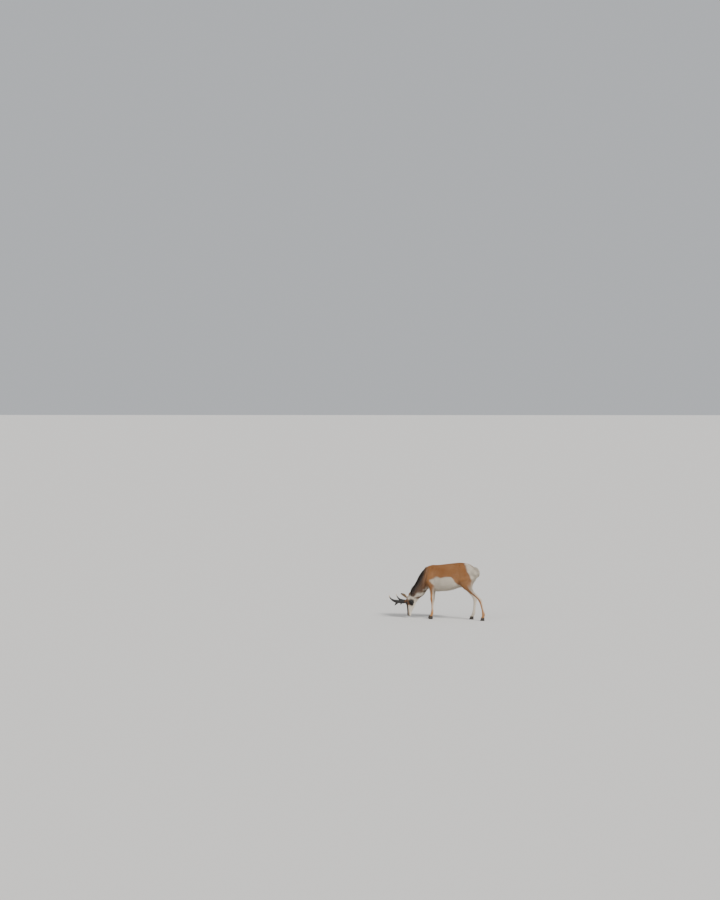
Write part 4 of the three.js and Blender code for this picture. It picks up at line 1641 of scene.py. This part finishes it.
@dataclass(frozen=True)
class Unwrap:
    """The skin's own unwrap: each part of the body rolled out round its axis, in a tile of its own."""

    columns: int = 4
    rows: int = 2
    leg_tile: int = 4
    margin: float = 0.01
    trunk_start: float = -0.42
    trunk_length: float = 0.95
    trunk_z: float = 0.66
    neck_start: float = -0.06
    neck_length: float = 0.52
    head_dorsal: float = -0.08
    head_length: float = 0.36
    leg_length: float = 0.66

    def at(self, points: Array) -> Array:
        """Places roots on the unwrap.

        Args:
            points: roots in the body's frame.

        Returns:
            A place from 0 to 1 each way for each root.
        """
        x, y, z = points.T
        legs = on_legs(points)
        forward, dorsal, lateral = BODY.head(points).T
        head = BODY.headness(points) > 0.5
        neck = (x < NECK_CUT_X) & ~head
        leg = (legs.share > 0.5) & ~head
        tile = np.zeros(len(points), int)
        angle = np.arctan2(y, z - self.trunk_z)
        along = (x - self.trunk_start) / self.trunk_length
        parts = (
            (neck, 1, np.arctan2(y, BODY.nape_height(points)),
             (BODY.down_neck(points) - self.neck_start) / self.neck_length),
            (head, 2, np.arctan2(lateral, dorsal - self.head_dorsal), forward / self.head_length),
            (leg, self.leg_tile + 2 * (legs.fore < 0.5) + (y > 0), np.arctan2(legs.inner, legs.behind),
             z / self.leg_length),
        )
        for part, part_tile, part_angle, part_along in parts:
            tile = np.where(part, part_tile, tile)
            angle = np.where(part, part_angle, angle)
            along = np.where(part, part_along, along)
        u = np.clip(angle / (2 * math.pi) + 0.5, self.margin, 1 - self.margin)
        v = np.clip(along, self.margin, 1 - self.margin)
        column, row = tile % self.columns, tile // self.columns
        return np.stack([(column + u) / self.columns, (row + v) / self.rows], axis=1)


UNWRAP = Unwrap()


@dataclass
class Tufts:
    """Builds a piece of coat from roots: thin, three-sided, pointed tufts that lie along the hair."""

    title: str
    seed: int
    lengths: Pair = (0.78, 1.18)
    widths: Pair = (0.75, 1.2)
    lifts: Pair = (0.55, 1.3)
    root_depth: float = 0.0012
    droop: float = 0.55
    taper: float = 0.55
    thickness: float = 0.30
    patch: float = 0.003

    def __post_init__(self) -> None:
        """Starts the piece's own stream of random numbers."""
        self.random = np.random.default_rng(self.seed)

    def build(self, ground: Ground, wool: Wool, scale: Array, colour: Array) -> Thing:
        """Makes the piece.

        Args:
            ground: the roots.
            wool: the sizes of a tuft.
            scale: each tuft's own size against the wool's.
            colour: each tuft's colour.

        Returns:
            The piece, in the model's frame.
        """
        count = len(ground.points)
        across = np.cross(ground.normals, ground.lie)
        turn = self.random.normal(0, wool.scatter, (count, 1))
        lie = unit(ground.lie * np.cos(turn) + across * np.sin(turn))
        across = np.cross(ground.normals, lie)
        length = wool.length * scale * self.random.uniform(*self.lengths, count)
        width = wool.width * np.sqrt(scale) * self.random.uniform(*self.widths, count)
        lift = wool.lift * self.random.uniform(*self.lifts, count) * scale
        rings = []
        for i in range(wool.rings + 1):
            t = i / wool.rings
            arc = math.sin(math.pi * min(0.5, 0.62 * t + 0.02))
            height = -self.root_depth + lift * arc - self.droop * lift * t * t * 0.5
            centre = ground.points + lie * (length * t)[:, None] + ground.normals * height[:, None]
            half = across * (0.5 * width * (1 - self.taper * t**1.5))[:, None]
            top = centre + ground.normals * (self.thickness * width * (1 - 0.5 * t))[:, None]
            corners = [centre + half, top, centre - half] if i < wool.rings else [centre]
            rings.append(np.stack(corners, axis=1))
        return self.mesh(np.concatenate(rings, axis=1), ground.points, colour, wool.rings)

    def faces(self, steps: int) -> Array:
        """The triangles of one tuft.

        Args:
            steps: how many rings of three vertices it has below its tip.

        Returns:
            Three vertex numbers for each triangle.
        """
        faces = [(0, 1, 2)]
        for base in range(0, 3 * (steps - 1), 3):
            for k in range(3):
                a, b = base + k, base + (k + 1) % 3
                faces += [(a, a + 3, b), (b, a + 3, b + 3)]
        base = 3 * (steps - 1)
        faces += [(base + k, base + 3, base + (k + 1) % 3) for k in range(3)]
        return np.array(faces)

    def mesh(self, points: Array, roots: Array, colour: Array, steps: int) -> Thing:
        """Turns the tufts' vertices into one mesh with its colours and its unwrap.

        Args:
            points: the vertices of each tuft, in the body's frame.
            roots: where each tuft starts.
            colour: each tuft's colour.
            steps: how many rings a tuft has below its tip.

        Returns:
            The piece.
        """
        count, size = points.shape[:2]
        faces = self.faces(steps)
        corners = ((np.arange(count) * size)[:, None, None] + faces[None]).reshape(-1)
        mesh = bpy.data.meshes.new(self.title)
        mesh.vertices.add(count * size)
        mesh.vertices.foreach_set("co", (points.reshape(-1, 3) + BODY.shift).ravel())
        mesh.loops.add(len(corners))
        mesh.loops.foreach_set("vertex_index", corners.astype(np.int32))
        mesh.polygons.add(count * len(faces))
        mesh.polygons.foreach_set("loop_start", np.arange(count * len(faces), dtype=np.int32) * 3)
        mesh.update(calc_edges=True)
        height = np.concatenate([np.repeat(np.arange(steps) / steps, 3), [1.0]])
        write_attribute(mesh, Layer.ALONG, np.tile(height, count))
        write_attribute(mesh, Layer.TONE, np.repeat(self.random.uniform(0, 1, count), size))
        write_attribute(mesh, Layer.COAT, np.repeat(colour, size, axis=0))
        spread = np.concatenate([np.tile([0.0, 0.5, 1.0], steps), [0.5]])
        patch = np.stack([spread, height], axis=1)[None] * self.patch
        places = UNWRAP.at(roots)[:, None, :] * (1 - self.patch) + patch
        layer = mesh.uv_layers.new(name="OFBake")
        layer.data.foreach_set("uv", places.reshape(-1, 2)[corners].ravel())
        return placed(self.title, mesh)


class Pelt:
    """A surface that hair grows from, with its lie."""

    def __init__(self, skin: Thing, lie: HairWay) -> None:
        """Reads the surface's triangles once.

        Args:
            skin: the surface.
            lie: gives the lie of its hair from points and normals.
        """
        mesh = skin.data
        self.lie = lie
        mesh.calc_loop_triangles()
        corners = np.empty(len(mesh.loop_triangles) * 3, np.int32)
        mesh.loop_triangles.foreach_get("vertices", corners)
        self.corners = corners.reshape(-1, 3)
        self.points = BODY.own(coordinates(skin))
        self.normals = vertex_normals(skin)
        a, b, c = (self.points[self.corners[:, k]] for k in range(3))
        self.areas = 0.5 * np.linalg.norm(np.cross(b - a, c - a), axis=1)
        self.middles = (a + b + c) / 3

    def scatter(self, stretch: "Stretch") -> Ground:
        """Draws a piece's roots over the surface.

        Args:
            stretch: the piece.

        Returns:
            The roots.
        """
        random = np.random.default_rng(stretch.seed)
        density = stretch.wool.density * stretch.share(self.middles)
        edges = np.cumsum(self.areas * density)
        total = int(edges[-1])
        draws = (np.arange(total) + random.uniform(0, 1, total)) * (edges[-1] / max(total, 1))
        chosen = np.minimum(np.searchsorted(edges, draws), len(edges) - 1)
        first, second = random.uniform(0, 1, total), random.uniform(0, 1, total)
        flip = first + second > 1
        first, second = np.where(flip, 1 - first, first), np.where(flip, 1 - second, second)
        weights = np.stack([1 - first - second, first, second], axis=1)[:, :, None]
        points = np.sum(self.points[self.corners[chosen]] * weights, axis=1)
        normals = unit(np.sum(self.normals[self.corners[chosen]] * weights, axis=1))
        return Ground(points, normals, self.lie(points, normals))


FLANK_TOP_Z = 0.69
HAUNCH_X = 0.20
RUMP_SHARE = 0.35
COAT_FOOT_Z = 0.046
MANE_END_X = -0.74


def trunk_share(points: Array) -> Array:
    """How much a point belongs to the trunk."""
    share = 1 - np.maximum(on_legs(points).share, BODY.headness(points))
    return share * (points[:, 0] > NECK_CUT_X)


def back_region(points: Array) -> Array:
    """The upper trunk, ahead of the haunch."""
    return trunk_share(points) * (points[:, 2] > FLANK_TOP_Z) * (points[:, 0] < HAUNCH_X)


def flank_region(points: Array) -> Array:
    """The lower trunk, ahead of the haunch."""
    return trunk_share(points) * (points[:, 2] <= FLANK_TOP_Z) * (points[:, 0] < HAUNCH_X)


def haunch_region(points: Array) -> Array:
    """The haunch, clear of the rump patch."""
    return trunk_share(points) * (points[:, 0] >= HAUNCH_X) * (MARKINGS.rump.share(points) <= RUMP_SHARE)


def rump_region(points: Array) -> Array:
    """The white rump patch and the tail."""
    return trunk_share(points) * (points[:, 0] >= HAUNCH_X) * (MARKINGS.rump.share(points) > RUMP_SHARE)


def neck_region(points: Array) -> Array:
    """The neck, up to where the head's short hair takes over."""
    head = BODY.headness(points)
    return (1 - head) * (head < 0.7) * (points[:, 0] <= NECK_CUT_X)


def mane_strip(points: Array) -> Array:
    """How near a point lies to the nape's middle line, which turns a little to one side near the head."""
    middle = 0.010 * smooth(-0.40, -0.64, points[:, 0])
    return smooth(0.045, 0.020, np.abs(points[:, 1] - middle)) * (BODY.nape_height(points) > 0.02)


def mane_region(points: Array) -> Array:
    """A strip of long hair along the nape, from the withers to behind the ears."""
    x = points[:, 0]
    return mane_strip(points) * smooth(-0.385, -0.48, x) * (1 - BODY.headness(points)) * (x > MANE_END_X)


def foreleg_region(points: Array) -> Array:
    """Both forelegs down to the coronets."""
    legs = on_legs(points)
    return legs.share * (legs.fore > 0.5) * (points[:, 2] > COAT_FOOT_Z)


def hindleg_region(points: Array) -> Array:
    """Both hind legs down to the coronets."""
    legs = on_legs(points)
    return legs.share * (legs.fore <= 0.5) * (points[:, 2] > COAT_FOOT_Z)


def head_region(points: Array) -> Array:
    """The furred parts of the head, clear of eyes, nose and lips."""
    return BODY.headness(points) * (1 - bareness(points))


def bareness(points: Array) -> Array:
    """How bare the skin is: 1 on the nose pad, lips and lid rims.

    Args:
        points: points in the body's frame.

    Returns:
        A share from 0 to 1 for each.
    """
    forward, dorsal, lateral = BODY.head(points).T
    nose = smooth(0.308, 0.318, forward) * smooth(-0.060, -0.054, dorsal)
    lips = smooth(0.0030, 0.0016, np.abs(dorsal - mouth_line(forward))) * smooth(0.258, 0.270, forward)
    eye = np.hypot((forward - EYE.forward) / 0.0215, (dorsal - EYE.dorsal) / 0.0150)
    rim = smooth(1.10, 0.98, eye) * smooth(0.035, 0.045, np.abs(lateral))
    return np.clip(nose + lips + rim, 0, 1) * BODY.headness(points)


def everywhere(points: Array) -> Array:
    """The whole of a surface."""
    return np.ones(len(points))


def body_half(points: Array, side: Side) -> Array:
    """Which points lie on one side of the body's middle plane."""
    return (points[:, 1] * side.value <= 0).astype(float)


def head_half(points: Array, side: Side) -> Array:
    """Which points lie on one side of the head's middle plane."""
    return (BODY.head(points)[:, 2] * side.value >= 0).astype(float)


@dataclass(frozen=True)
class Stretch:
    """One piece of coat: its name, its tufts, its slot, its seed and the part of the body that it covers."""

    title: str
    wool: Wool
    slot: Slot
    seed: int
    region: Share
    side: Side | None = None
    half: Half = body_half

    def share(self, points: Array) -> Array:
        """How much of the piece grows at each point."""
        whole = self.region(points)
        return whole if self.side is None else whole * self.half(points, self.side)


def pair(part: str, wool: Wool, slot: Slot, seeds: tuple[int, int], region: Share,
         half: Half = body_half) -> tuple[Stretch, ...]:
    """The left and right pieces of one part of the coat.

    Args:
        part: the part's name.
        wool: its tufts.
        slot: its slot.
        seeds: the left and the right piece's seed.
        region: the part of the body that both cover.
        half: which half of it one side covers.

    Returns:
        The two stretches.
    """
    return tuple(Stretch(f"coat_{part}_{side.word}", wool, slot, seed, region, side, half)
                 for side, seed in zip(Side, seeds))


BACK = Wool(length=0.026, width=0.0036, lift=0.0058, density=76000)
FLANK = Wool(length=0.028, width=0.0037, lift=0.0060, density=76000)
HAUNCH = Wool(length=0.026, width=0.0036, lift=0.0056, density=80000)
RUMP = Wool(length=0.044, width=0.0040, lift=0.0100, density=80000, scatter=0.20, rings=3)
NECK = Wool(length=0.031, width=0.0038, lift=0.0070, density=80000, scatter=0.18)
MANE = Wool(length=0.070, width=0.0031, lift=0.0190, density=90000, rings=4)
LEG = Wool(length=0.012, width=0.0024, lift=0.0015, density=72000)
HEAD = Wool(length=0.0085, width=0.0015, lift=0.0011, density=195000)
EAR = Wool(length=0.0130, width=0.0015, lift=0.0014, density=190000)

STRETCHES = (
    *pair("back", BACK, Slot.TAN, (11, 12), back_region),
    *pair("flank", FLANK, Slot.WHITE, (13, 14), flank_region),
    *pair("haunch", HAUNCH, Slot.TAN, (15, 16), haunch_region),
    Stretch("coat_rump", RUMP, Slot.WHITE, 17, rump_region),
    *pair("neck", NECK, Slot.DARK, (18, 19), neck_region),
    Stretch("mane", MANE, Slot.DARK, 23, mane_region),
    Stretch("coat_forelegs", LEG, Slot.TAN, 20, foreleg_region),
    Stretch("coat_hindlegs", LEG, Slot.TAN, 21, hindleg_region),
    *pair("head", HEAD, Slot.FACE, (22, 25), head_region, head_half),
)
EAR_SEED = 24
TUFT_SEED = 100


def tuft_scale(points: Array) -> Array:
    """How long hair is at each place against the wool of its stretch.

    Args:
        points: roots in the body's frame.

    Returns:
        A size for each, where 1 is the wool's own.
    """
    x, _, z = points.T
    forward, dorsal, _ = BODY.head(points).T
    head = BODY.headness(points)
    thigh = 0.9 * on_legs(points).share * smooth(0.36, 0.52, z)
    cheek = smooth(0.17, 0.05, forward) * (0.55 + 0.9 * smooth(-0.10, -0.16, dorsal))
    muzzle = 0.30 * smooth(0.20, 0.30, forward)
    near_eye = 0.45 * hump(EYE.forward, 0.030, forward) * hump(EYE.dorsal, 0.026, dorsal)
    mane = mane_strip(points) * smooth(-0.30, -0.34, x)
    poll = 0.62 * smooth(0.085, 0.010, -BODY.past_poll(forward, dorsal)) * (1 - head) * (1 - 0.35 * mane)
    withers = 0.62 * mane * smooth(-0.54, -0.39, x)
    scale = (1 + thigh) * (1 + smooth(0.75, 1.0, head) * (cheek - muzzle))
    return scale * (1 - poll) * (1 - withers) * (1 - near_eye * head)


def grow(stretch: Stretch, ground: Ground, scale: Array, colour: Array, fur: Look) -> None:
    """Grows one piece of coat.

    Args:
        stretch: the piece.
        ground: its roots.
        scale: each tuft's own size.
        colour: each tuft's colour.
        fur: its material.
    """
    piece = Tufts(stretch.title, TUFT_SEED + stretch.seed).build(ground, stretch.wool, scale, colour)
    finish_piece(piece, fur, stretch.slot)


@dataclass(frozen=True)
class Ear:
    """An ear: a finer copy of its solid, thinned by its hair's depth, with folds in the cup, and its coat."""

    side: Side
    root: Triple = (0.036, -0.034, 0.052)
    to_tip: Triple = (-0.56, 0.36, 0.78)
    opening: Triple = (0.62, -0.10, 0.58)
    length: float = 0.138
    rim_width: Pair = (0.004, 0.030)
    voxel: float = 0.0018
    rounds: int = 5
    depth: float = 0.0009
    fold_height: float = 0.0007
    fold_width: float = 0.0042
    fold_reach: Pair = (0.35, 0.22)

    def axes(self) -> tuple[Array, Array, Array, Array]:
        """The ways that the ear is measured along.

        Returns:
            Its root and the unit ways along, out of the cup and across, in the body's frame.
        """
        mirror = np.array([1, 1, self.side.value])
        along = unit(BODY.head_way(mirror * self.to_tip))
        across = unit(np.cross(along, BODY.head_way(mirror * self.opening)))
        return BODY.from_head(mirror * self.root), along, np.cross(across, along), across

    def place(self, points: Array) -> tuple[Array, Array]:
        """Each point's share of the way to the tip, and its distance across."""
        root, along, _, across = self.axes()
        return (points - root) @ along / self.length, (points - root) @ across

    def inside(self, normals: Array) -> Array:
        """How much each place faces out of the cup."""
        return smooth(0.10, 0.45, normals @ self.axes()[2])

    def colour(self, points: Array, normals: Array) -> Array:
        """Colours of an ear: tan outside with a dark rim and tip, cream in the cup.

        Args:
            points: places in the body's frame.
            normals: the ear's ways out there.

        Returns:
            A colour for each.
        """
        t, wide = self.place(points)
        tip_width, root_width = self.rim_width
        rim = smooth(0.62, 1.0, np.abs(wide) / (tip_width + root_width * np.sqrt(np.clip(1 - t, 0, 1))))
        paint = Paint(Hue.TAN, len(points))
        paint.over(Hue.TAN_PALE, 0.35 * smooth(0.6, 0.1, t))
        paint.over(Hue.CREAM, 0.85 * self.inside(normals))
        paint.over(Hue.BROWN, 0.75 * rim * smooth(0.25, 0.5, t))
        paint.over(Hue.BLACK, 0.93 * smooth(0.70, 0.90, t))
        return paint.rows

    def lie(self, points: Array, normals: Array) -> Array:
        """Hair of an ear lies from its root to its tip, and fans out towards the rims in the cup.

        Args:
            points: places in the body's frame.
            normals: the ear's ways out there.

        Returns:
            A unit way for each.
        """
        _, along, face, across = self.axes()
        _, wide = self.place(points)
        cup = self.inside(normals)
        way = along[None] + across[None] * (np.clip(wide / 0.02, -1, 1) * 0.35 * cup)[:, None]
        return along_surface(way + face[None] * (0.25 * cup)[:, None], normals)

    def build(self, hide: Look) -> Thing:
        """Makes the ear's skin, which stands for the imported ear.

        Args:
            hide: its material.

        Returns:
            The ear's skin, in the model's frame.
        """
        node = f"ear_{self.side.word}"
        thing = fine_copy(node, f"ear_skin_{self.side.word}", self.voxel, self.rounds)
        points = BODY.own(coordinates(thing))
        normals = vertex_normals(thing)
        t, wide = self.place(points)
        folds = np.cos(wide / self.fold_width * math.pi) * hump(*self.fold_reach, t) * self.inside(normals)
        rise = self.fold_height * folds - self.depth
        set_coordinates(thing, points + normals * rise[:, None] + BODY.shift)
        write_attribute(thing.data, Layer.COAT, self.colour(points, normals))
        write_attribute(thing.data, Layer.BARE, np.zeros(len(points)))
        finish_piece(thing, hide, Slot.FACE, node)
        return thing

    def coat(self, skin: Thing, fur: Look) -> None:
        """Grows the ear's coat, longest in the cup.

        Args:
            skin: the ear's skin.
            fur: the coat's material.
        """
        stretch = Stretch(f"coat_ear_{self.side.word}", EAR, Slot.FACE, EAR_SEED, everywhere)
        ground = Pelt(skin, self.lie).scatter(stretch)
        tip = smooth(0.7, 1.0, self.place(ground.points)[0])
        scale = (0.75 + 0.75 * self.inside(ground.normals)) * (1 - 0.35 * tip)
        grow(stretch, ground, scale, self.colour(ground.points, ground.normals), fur)


@dataclass
class Eye:
    """An eyeball with a bulging cornea and a wide level pupil, and the lashes over it."""

    side: Side
    segments: int = 56
    rings: int = 36
    cornea: float = 0.0012
    cornea_edge: Pair = (0.013, 0.004)
    iris_edge: Pair = (0.0132, 0.0122)
    pupil: Pair = (0.0078, 0.0042)
    lash_count: int = 34
    lash_seed: int = 40
    lash_steps: int = 4
    lash_sides: int = 4
    lash_length: float = 0.0125
    lash_curl: float = 0.35
    lash_girth: float = 0.00034
    lash_arc: Pair = (0.10, 0.80)
    lid_share: float = 1.04
    lid_gap: float = 0.0008

    def build(self) -> None:
        """Makes the eyeball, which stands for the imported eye."""
        bpy.ops.object.select_all(action="DESELECT")
        bpy.ops.mesh.primitive_uv_sphere_add(segments=self.segments, ring_count=self.rings, radius=EYE.radius)
        thing = bpy.context.active_object
        thing.name = f"eyeball_{self.side.word}"
        local = coordinates(thing)
        a, b, c = local.T
        off_axis = np.hypot(a, b)
        pupil = np.hypot(a / self.pupil[0], b / self.pupil[1])
        bulge = self.cornea * smooth(*self.cornea_edge, off_axis) * (c > 0)
        write_attribute(thing.data, Layer.PUPIL, smooth(1.15, 0.9, pupil) * (c > 0))
        write_attribute(thing.data, Layer.IRIS, smooth(*self.iris_edge, off_axis) * (c > 0))
        out, along, brow = EYE.axes(self.side)
        world = np.stack([along, brow, out])
        if np.linalg.det(world) < 0:
            world[0] = -world[0]
        spots = local * (1 + bulge / EYE.radius)[:, None] @ world
        set_coordinates(thing, spots + EYE.centre(self.side) + BODY.shift)
        finish_piece(thing, EyeFinish().make(), Slot.EYE, f"eye_{self.side.word}")

    def lashes(self) -> None:
        """Makes a row of stiff, curved, tapered lashes along the upper lid's rim."""
        random = np.random.default_rng(self.lash_seed + self.side.value)
        points, faces = [], []
        for i in range(self.lash_count):
            start, share = self.lash_arc
            turn = math.pi * (start + share * i / (self.lash_count - 1))
            length = self.lash_length * (0.75 + 0.35 * math.sin(turn)) * random.uniform(0.85, 1.15)
            faces += self.lash_faces(len(points))
            points += self.lash_points(turn, length)
        mesh = bpy.data.meshes.new(f"lashes_{self.side.word}")
        mesh.from_pydata([tuple(point + BODY.shift) for point in points], [], faces)
        thing = placed(mesh.name, mesh)
        select_only(thing)
        bpy.ops.object.mode_set(mode="EDIT")
        bpy.ops.mesh.select_all(action="SELECT")
        bpy.ops.mesh.normals_make_consistent(inside=False)
        bpy.ops.object.mode_set(mode="OBJECT")
        finish_piece(thing, LashFinish().make(), Slot.DARK)

    def lash_points(self, turn: float, length: float) -> list[Array]:
        """Places the vertices of one lash.

        Args:
            turn: where it grows round the lid, from the inner corner at 0 to the outer at pi.
            length: its length.

        Returns:
            Its rings of vertices and its tip, in the body's frame.
        """
        out, along, brow = EYE.axes(self.side)
        lean = along * math.cos(turn)
        rim = (lean * EYE.half_length + brow * EYE.half_height * math.sin(turn)) * self.lid_share
        root = rim + out * math.sqrt(max(EYE.radius**2 - rim @ rim, 0)) + unit(rim) * self.lid_gap
        root = root + EYE.centre(self.side)
        way = unit(out + brow * 0.35 + lean * 0.75)
        aside = unit(np.cross(way, brow))
        upward = np.cross(aside, way)
        if upward @ brow < 0:
            upward = -upward
        points = []
        for k in range(self.lash_steps + 1):
            t = k / self.lash_steps
            spot = root + way * (length * t) + upward * (self.lash_curl * length * t * t)
            if k == self.lash_steps:
                points.append(spot)
                break
            girth = self.lash_girth * (1 - 0.7 * t)
            for m in range(self.lash_sides):
                roll = 2 * math.pi * m / self.lash_sides
                points.append(spot + aside * girth * math.cos(roll) + upward * girth * math.sin(roll))
        return points

    def lash_faces(self, base: int) -> list[list[int]]:
        """Numbers the vertices of one lash's faces.

        Args:
            base: the number of its first vertex.

        Returns:
            The faces: its root, its walls and its tip.
        """
        sides = self.lash_sides
        last = base + (self.lash_steps - 1) * sides
        faces = [[base + m for m in range(sides)][::-1]]
        for low in range(base, last, sides):
            for m in range(sides):
                n = (m + 1) % sides
                faces.append([low + m, low + n, low + sides + n, low + sides + m])
        return faces + [[last + m, last + (m + 1) % sides, last + sides] for m in range(sides)]


@dataclass
class Horn:
    """A horn: a finer copy of its solid, ridged and furrowed along its length, most at the base."""

    side: Side
    voxel: float = 0.0023
    rounds: int = 6
    height: float = 0.262
    axis: Pair = (0.104, 0.050)
    spread: float = 0.2
    ridge_height: float = 0.0009
    ridge_counts: tuple[int, int] = (13, 29)
    ring_height: float = 0.0006
    ring_turn: float = 95
    bead_height: float = 0.0009
    inset: float = 0.0004
    warp: Waver = Waver(1.0, 0.05, 31)
    beads: Waver = Waver(1.0, 0.012, 33)

    def build(self) -> None:
        """Makes the horn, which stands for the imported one."""
        node = f"horn_{self.side.word}"
        thing = fine_copy(node, f"horn_sheath_{self.side.word}", self.voxel, self.rounds)
        points = BODY.own(coordinates(thing))
        forward, dorsal, lateral = BODY.head(points).T
        rise = np.clip((dorsal - 0.002) / self.height, 0, 1)
        outward = lateral * self.side.value - self.axis[1] - self.spread * rise * self.height
        around = np.arctan2(outward, forward - self.axis[0])
        warp = self.warp.at(points)
        coarse, fine = self.ridge_counts
        ridges = np.sin(around * coarse + 3.0 * warp) * 0.5 + np.sin(around * fine + 5.0 * warp) * 0.28
        rings = np.sin(rise * self.ring_turn + 2.2 * warp) * smooth(0.30, 0.02, rise)
        beads = self.beads.at(points) * smooth(0.34, 0.05, rise)
        relief = self.ridge_height * ridges * smooth(0.85, 0.35, rise)
        relief = relief + self.ring_height * rings + self.bead_height * beads - self.inset
        set_coordinates(thing, points + vertex_normals(thing) * relief[:, None] + BODY.shift)
        write_attribute(thing.data, Layer.RISE, rise)
        finish_piece(thing, HornFinish().make(), Slot.HORN, node)


@dataclass
class Hoof:
    """One claw of a hoof: a finer copy of its solid with growth rings and a flat sole."""

    node: str
    voxel: float = 0.0016
    rounds: int = 4
    ring_height: float = 0.00035
    ring_spacing: float = 0.0055
    wall_z: Pair = (0.004, 0.010)
    wall_tilt: Pair = (0.6, 0.2)
    sole_z: float = 0.0022
    waver: Waver = Waver(1.4, 0.05, 35)

    def build(self, horn: Look) -> None:
        """Makes the claw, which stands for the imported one.

        Args:
            horn: its material.
        """
        thing = fine_copy(self.node, self.node.replace("hoof", "claw"), self.voxel, self.rounds)
        points = coordinates(thing)
        normals = vertex_normals(thing)
        z = points[:, 2]
        rings = np.sin(z * (2 * math.pi / self.ring_spacing) + self.waver.at(points))
        wall = smooth(*self.wall_z, z) * smooth(*self.wall_tilt, np.abs(normals[:, 2]))
        moved = points + normals * (self.ring_height * rings * wall)[:, None]
        moved[:, 2] = np.where(z < self.sole_z, 0.0, moved[:, 2])
        set_coordinates(thing, moved)
        finish_piece(thing, horn, Slot.HOOF, self.node)


@dataclass
class Studio:
    """The camera at the photograph's place, a wide pale floor and soft light.

    Rows and columns are pixels. A lamp is its strength, its width in degrees and its turns in degrees.
    """

    frame_width: int = 720
    frame_height: int = 900
    focal_pixels: float = 2000.0
    horizon_row: float = 413.0
    ground_row: float = 619.0
    body_column: float = 450.0
    distance: float = 32.0
    azimuth: float = math.radians(15)
    sensor: float = 36.0
    floor_size: float = 6000.0
    floor_drop: float = 0.0005
    floor_colour: Triple = (0.62, 0.60, 0.57)
    floor_roughness: float = 0.9
    sky: Triple = (0.86, 0.89, 0.93)
    sky_strength: float = 0.62
    key: tuple[float, float, Triple] = (4.2, 10.0, (52.0, 0.0, 58.0))
    fill: tuple[float, float, Triple] = (0.9, 60.0, (55.0, 0.0, -25.0))

    def build(self) -> None:
        """Adds the camera, the floor and the lights."""
        self.camera()
        self.floor()
        self.lights()

    def camera(self) -> None:
        """Sets a camera whose horizon, distance and aim put the body where the photograph shows it."""
        pitch = math.atan((self.frame_height / 2 - self.horizon_row) / self.focal_pixels)
        below = math.atan((self.ground_row - self.frame_height / 2) / self.focal_pixels) + pitch
        aside = math.atan((self.body_column - self.frame_width / 2) / self.focal_pixels)
        away = Vector((math.sin(self.azimuth), -math.cos(self.azimuth), math.tan(below))) * self.distance
        lens = bpy.data.cameras.new("camera")
        lens.sensor_width = self.sensor
        lens.lens = self.sensor * self.focal_pixels / max(self.frame_width, self.frame_height)
        lens.clip_end = self.floor_size
        camera = placed("camera", lens)
        camera.location = Vector(BODY.shift) + away
        camera.rotation_euler = Euler((math.pi / 2 - pitch, 0.0, self.azimuth + aside), "XYZ")
        bpy.context.scene.camera = camera

    def floor(self) -> None:
        """Lays a plain pale floor, wide enough to reach the horizon."""
        bpy.ops.object.select_all(action="DESELECT")
        bpy.ops.mesh.primitive_plane_add(size=self.floor_size, location=(0, 0, -self.floor_drop))
        floor = bpy.context.active_object
        floor.name = "floor"
        look = Shader("pale_floor")
        look.set(Base_Color=(*self.floor_colour, 1.0), Roughness=self.floor_roughness)
        floor.data.materials.append(look.material)

    def lights(self) -> None:
        """Adds a soft key from behind the body on its right, a fill from the camera's side and a pale sky."""
        for title, (energy, angle, turn) in (("key", self.key), ("fill", self.fill)):
            lamp = bpy.data.lights.new(title, "SUN")
            lamp.energy = energy
            lamp.angle = math.radians(angle)
            placed(title, lamp).rotation_euler = Euler([math.radians(value) for value in turn], "XYZ")
        world = bpy.data.worlds.new("sky")
        world.use_nodes = True
        background = world.node_tree.nodes["Background"]
        background.inputs["Color"].default_value = (*self.sky, 1.0)
        background.inputs["Strength"].default_value = self.sky_strength
        bpy.context.scene.world = world
        bpy.context.scene.view_settings.view_transform = "AgX"


def main() -> None:
    """Builds every piece in order, then the studio."""
    hide = SkinFinish().make()
    fur = FurFinish().make()
    pelt = Pelt(Skin().build(hide), LIE.at)
    for stretch in STRETCHES:
        ground = pelt.scatter(stretch)
        grow(stretch, ground, tuft_scale(ground.points), MARKINGS.colour(ground.points), fur)
    for side in Side:
        ear = Ear(side)
        ear.coat(ear.build(hide), fur)
        eye = Eye(side)
        eye.build()
        eye.lashes()
        Horn(side).build()
    hoof_horn = HoofFinish().make()
    for foot in FEET:
        for claw in CLAWS:
            Hoof(f"hoof_{foot}_{claw}").build(hoof_horn)
    Studio().build()


if __name__ == "__main__":
    main()
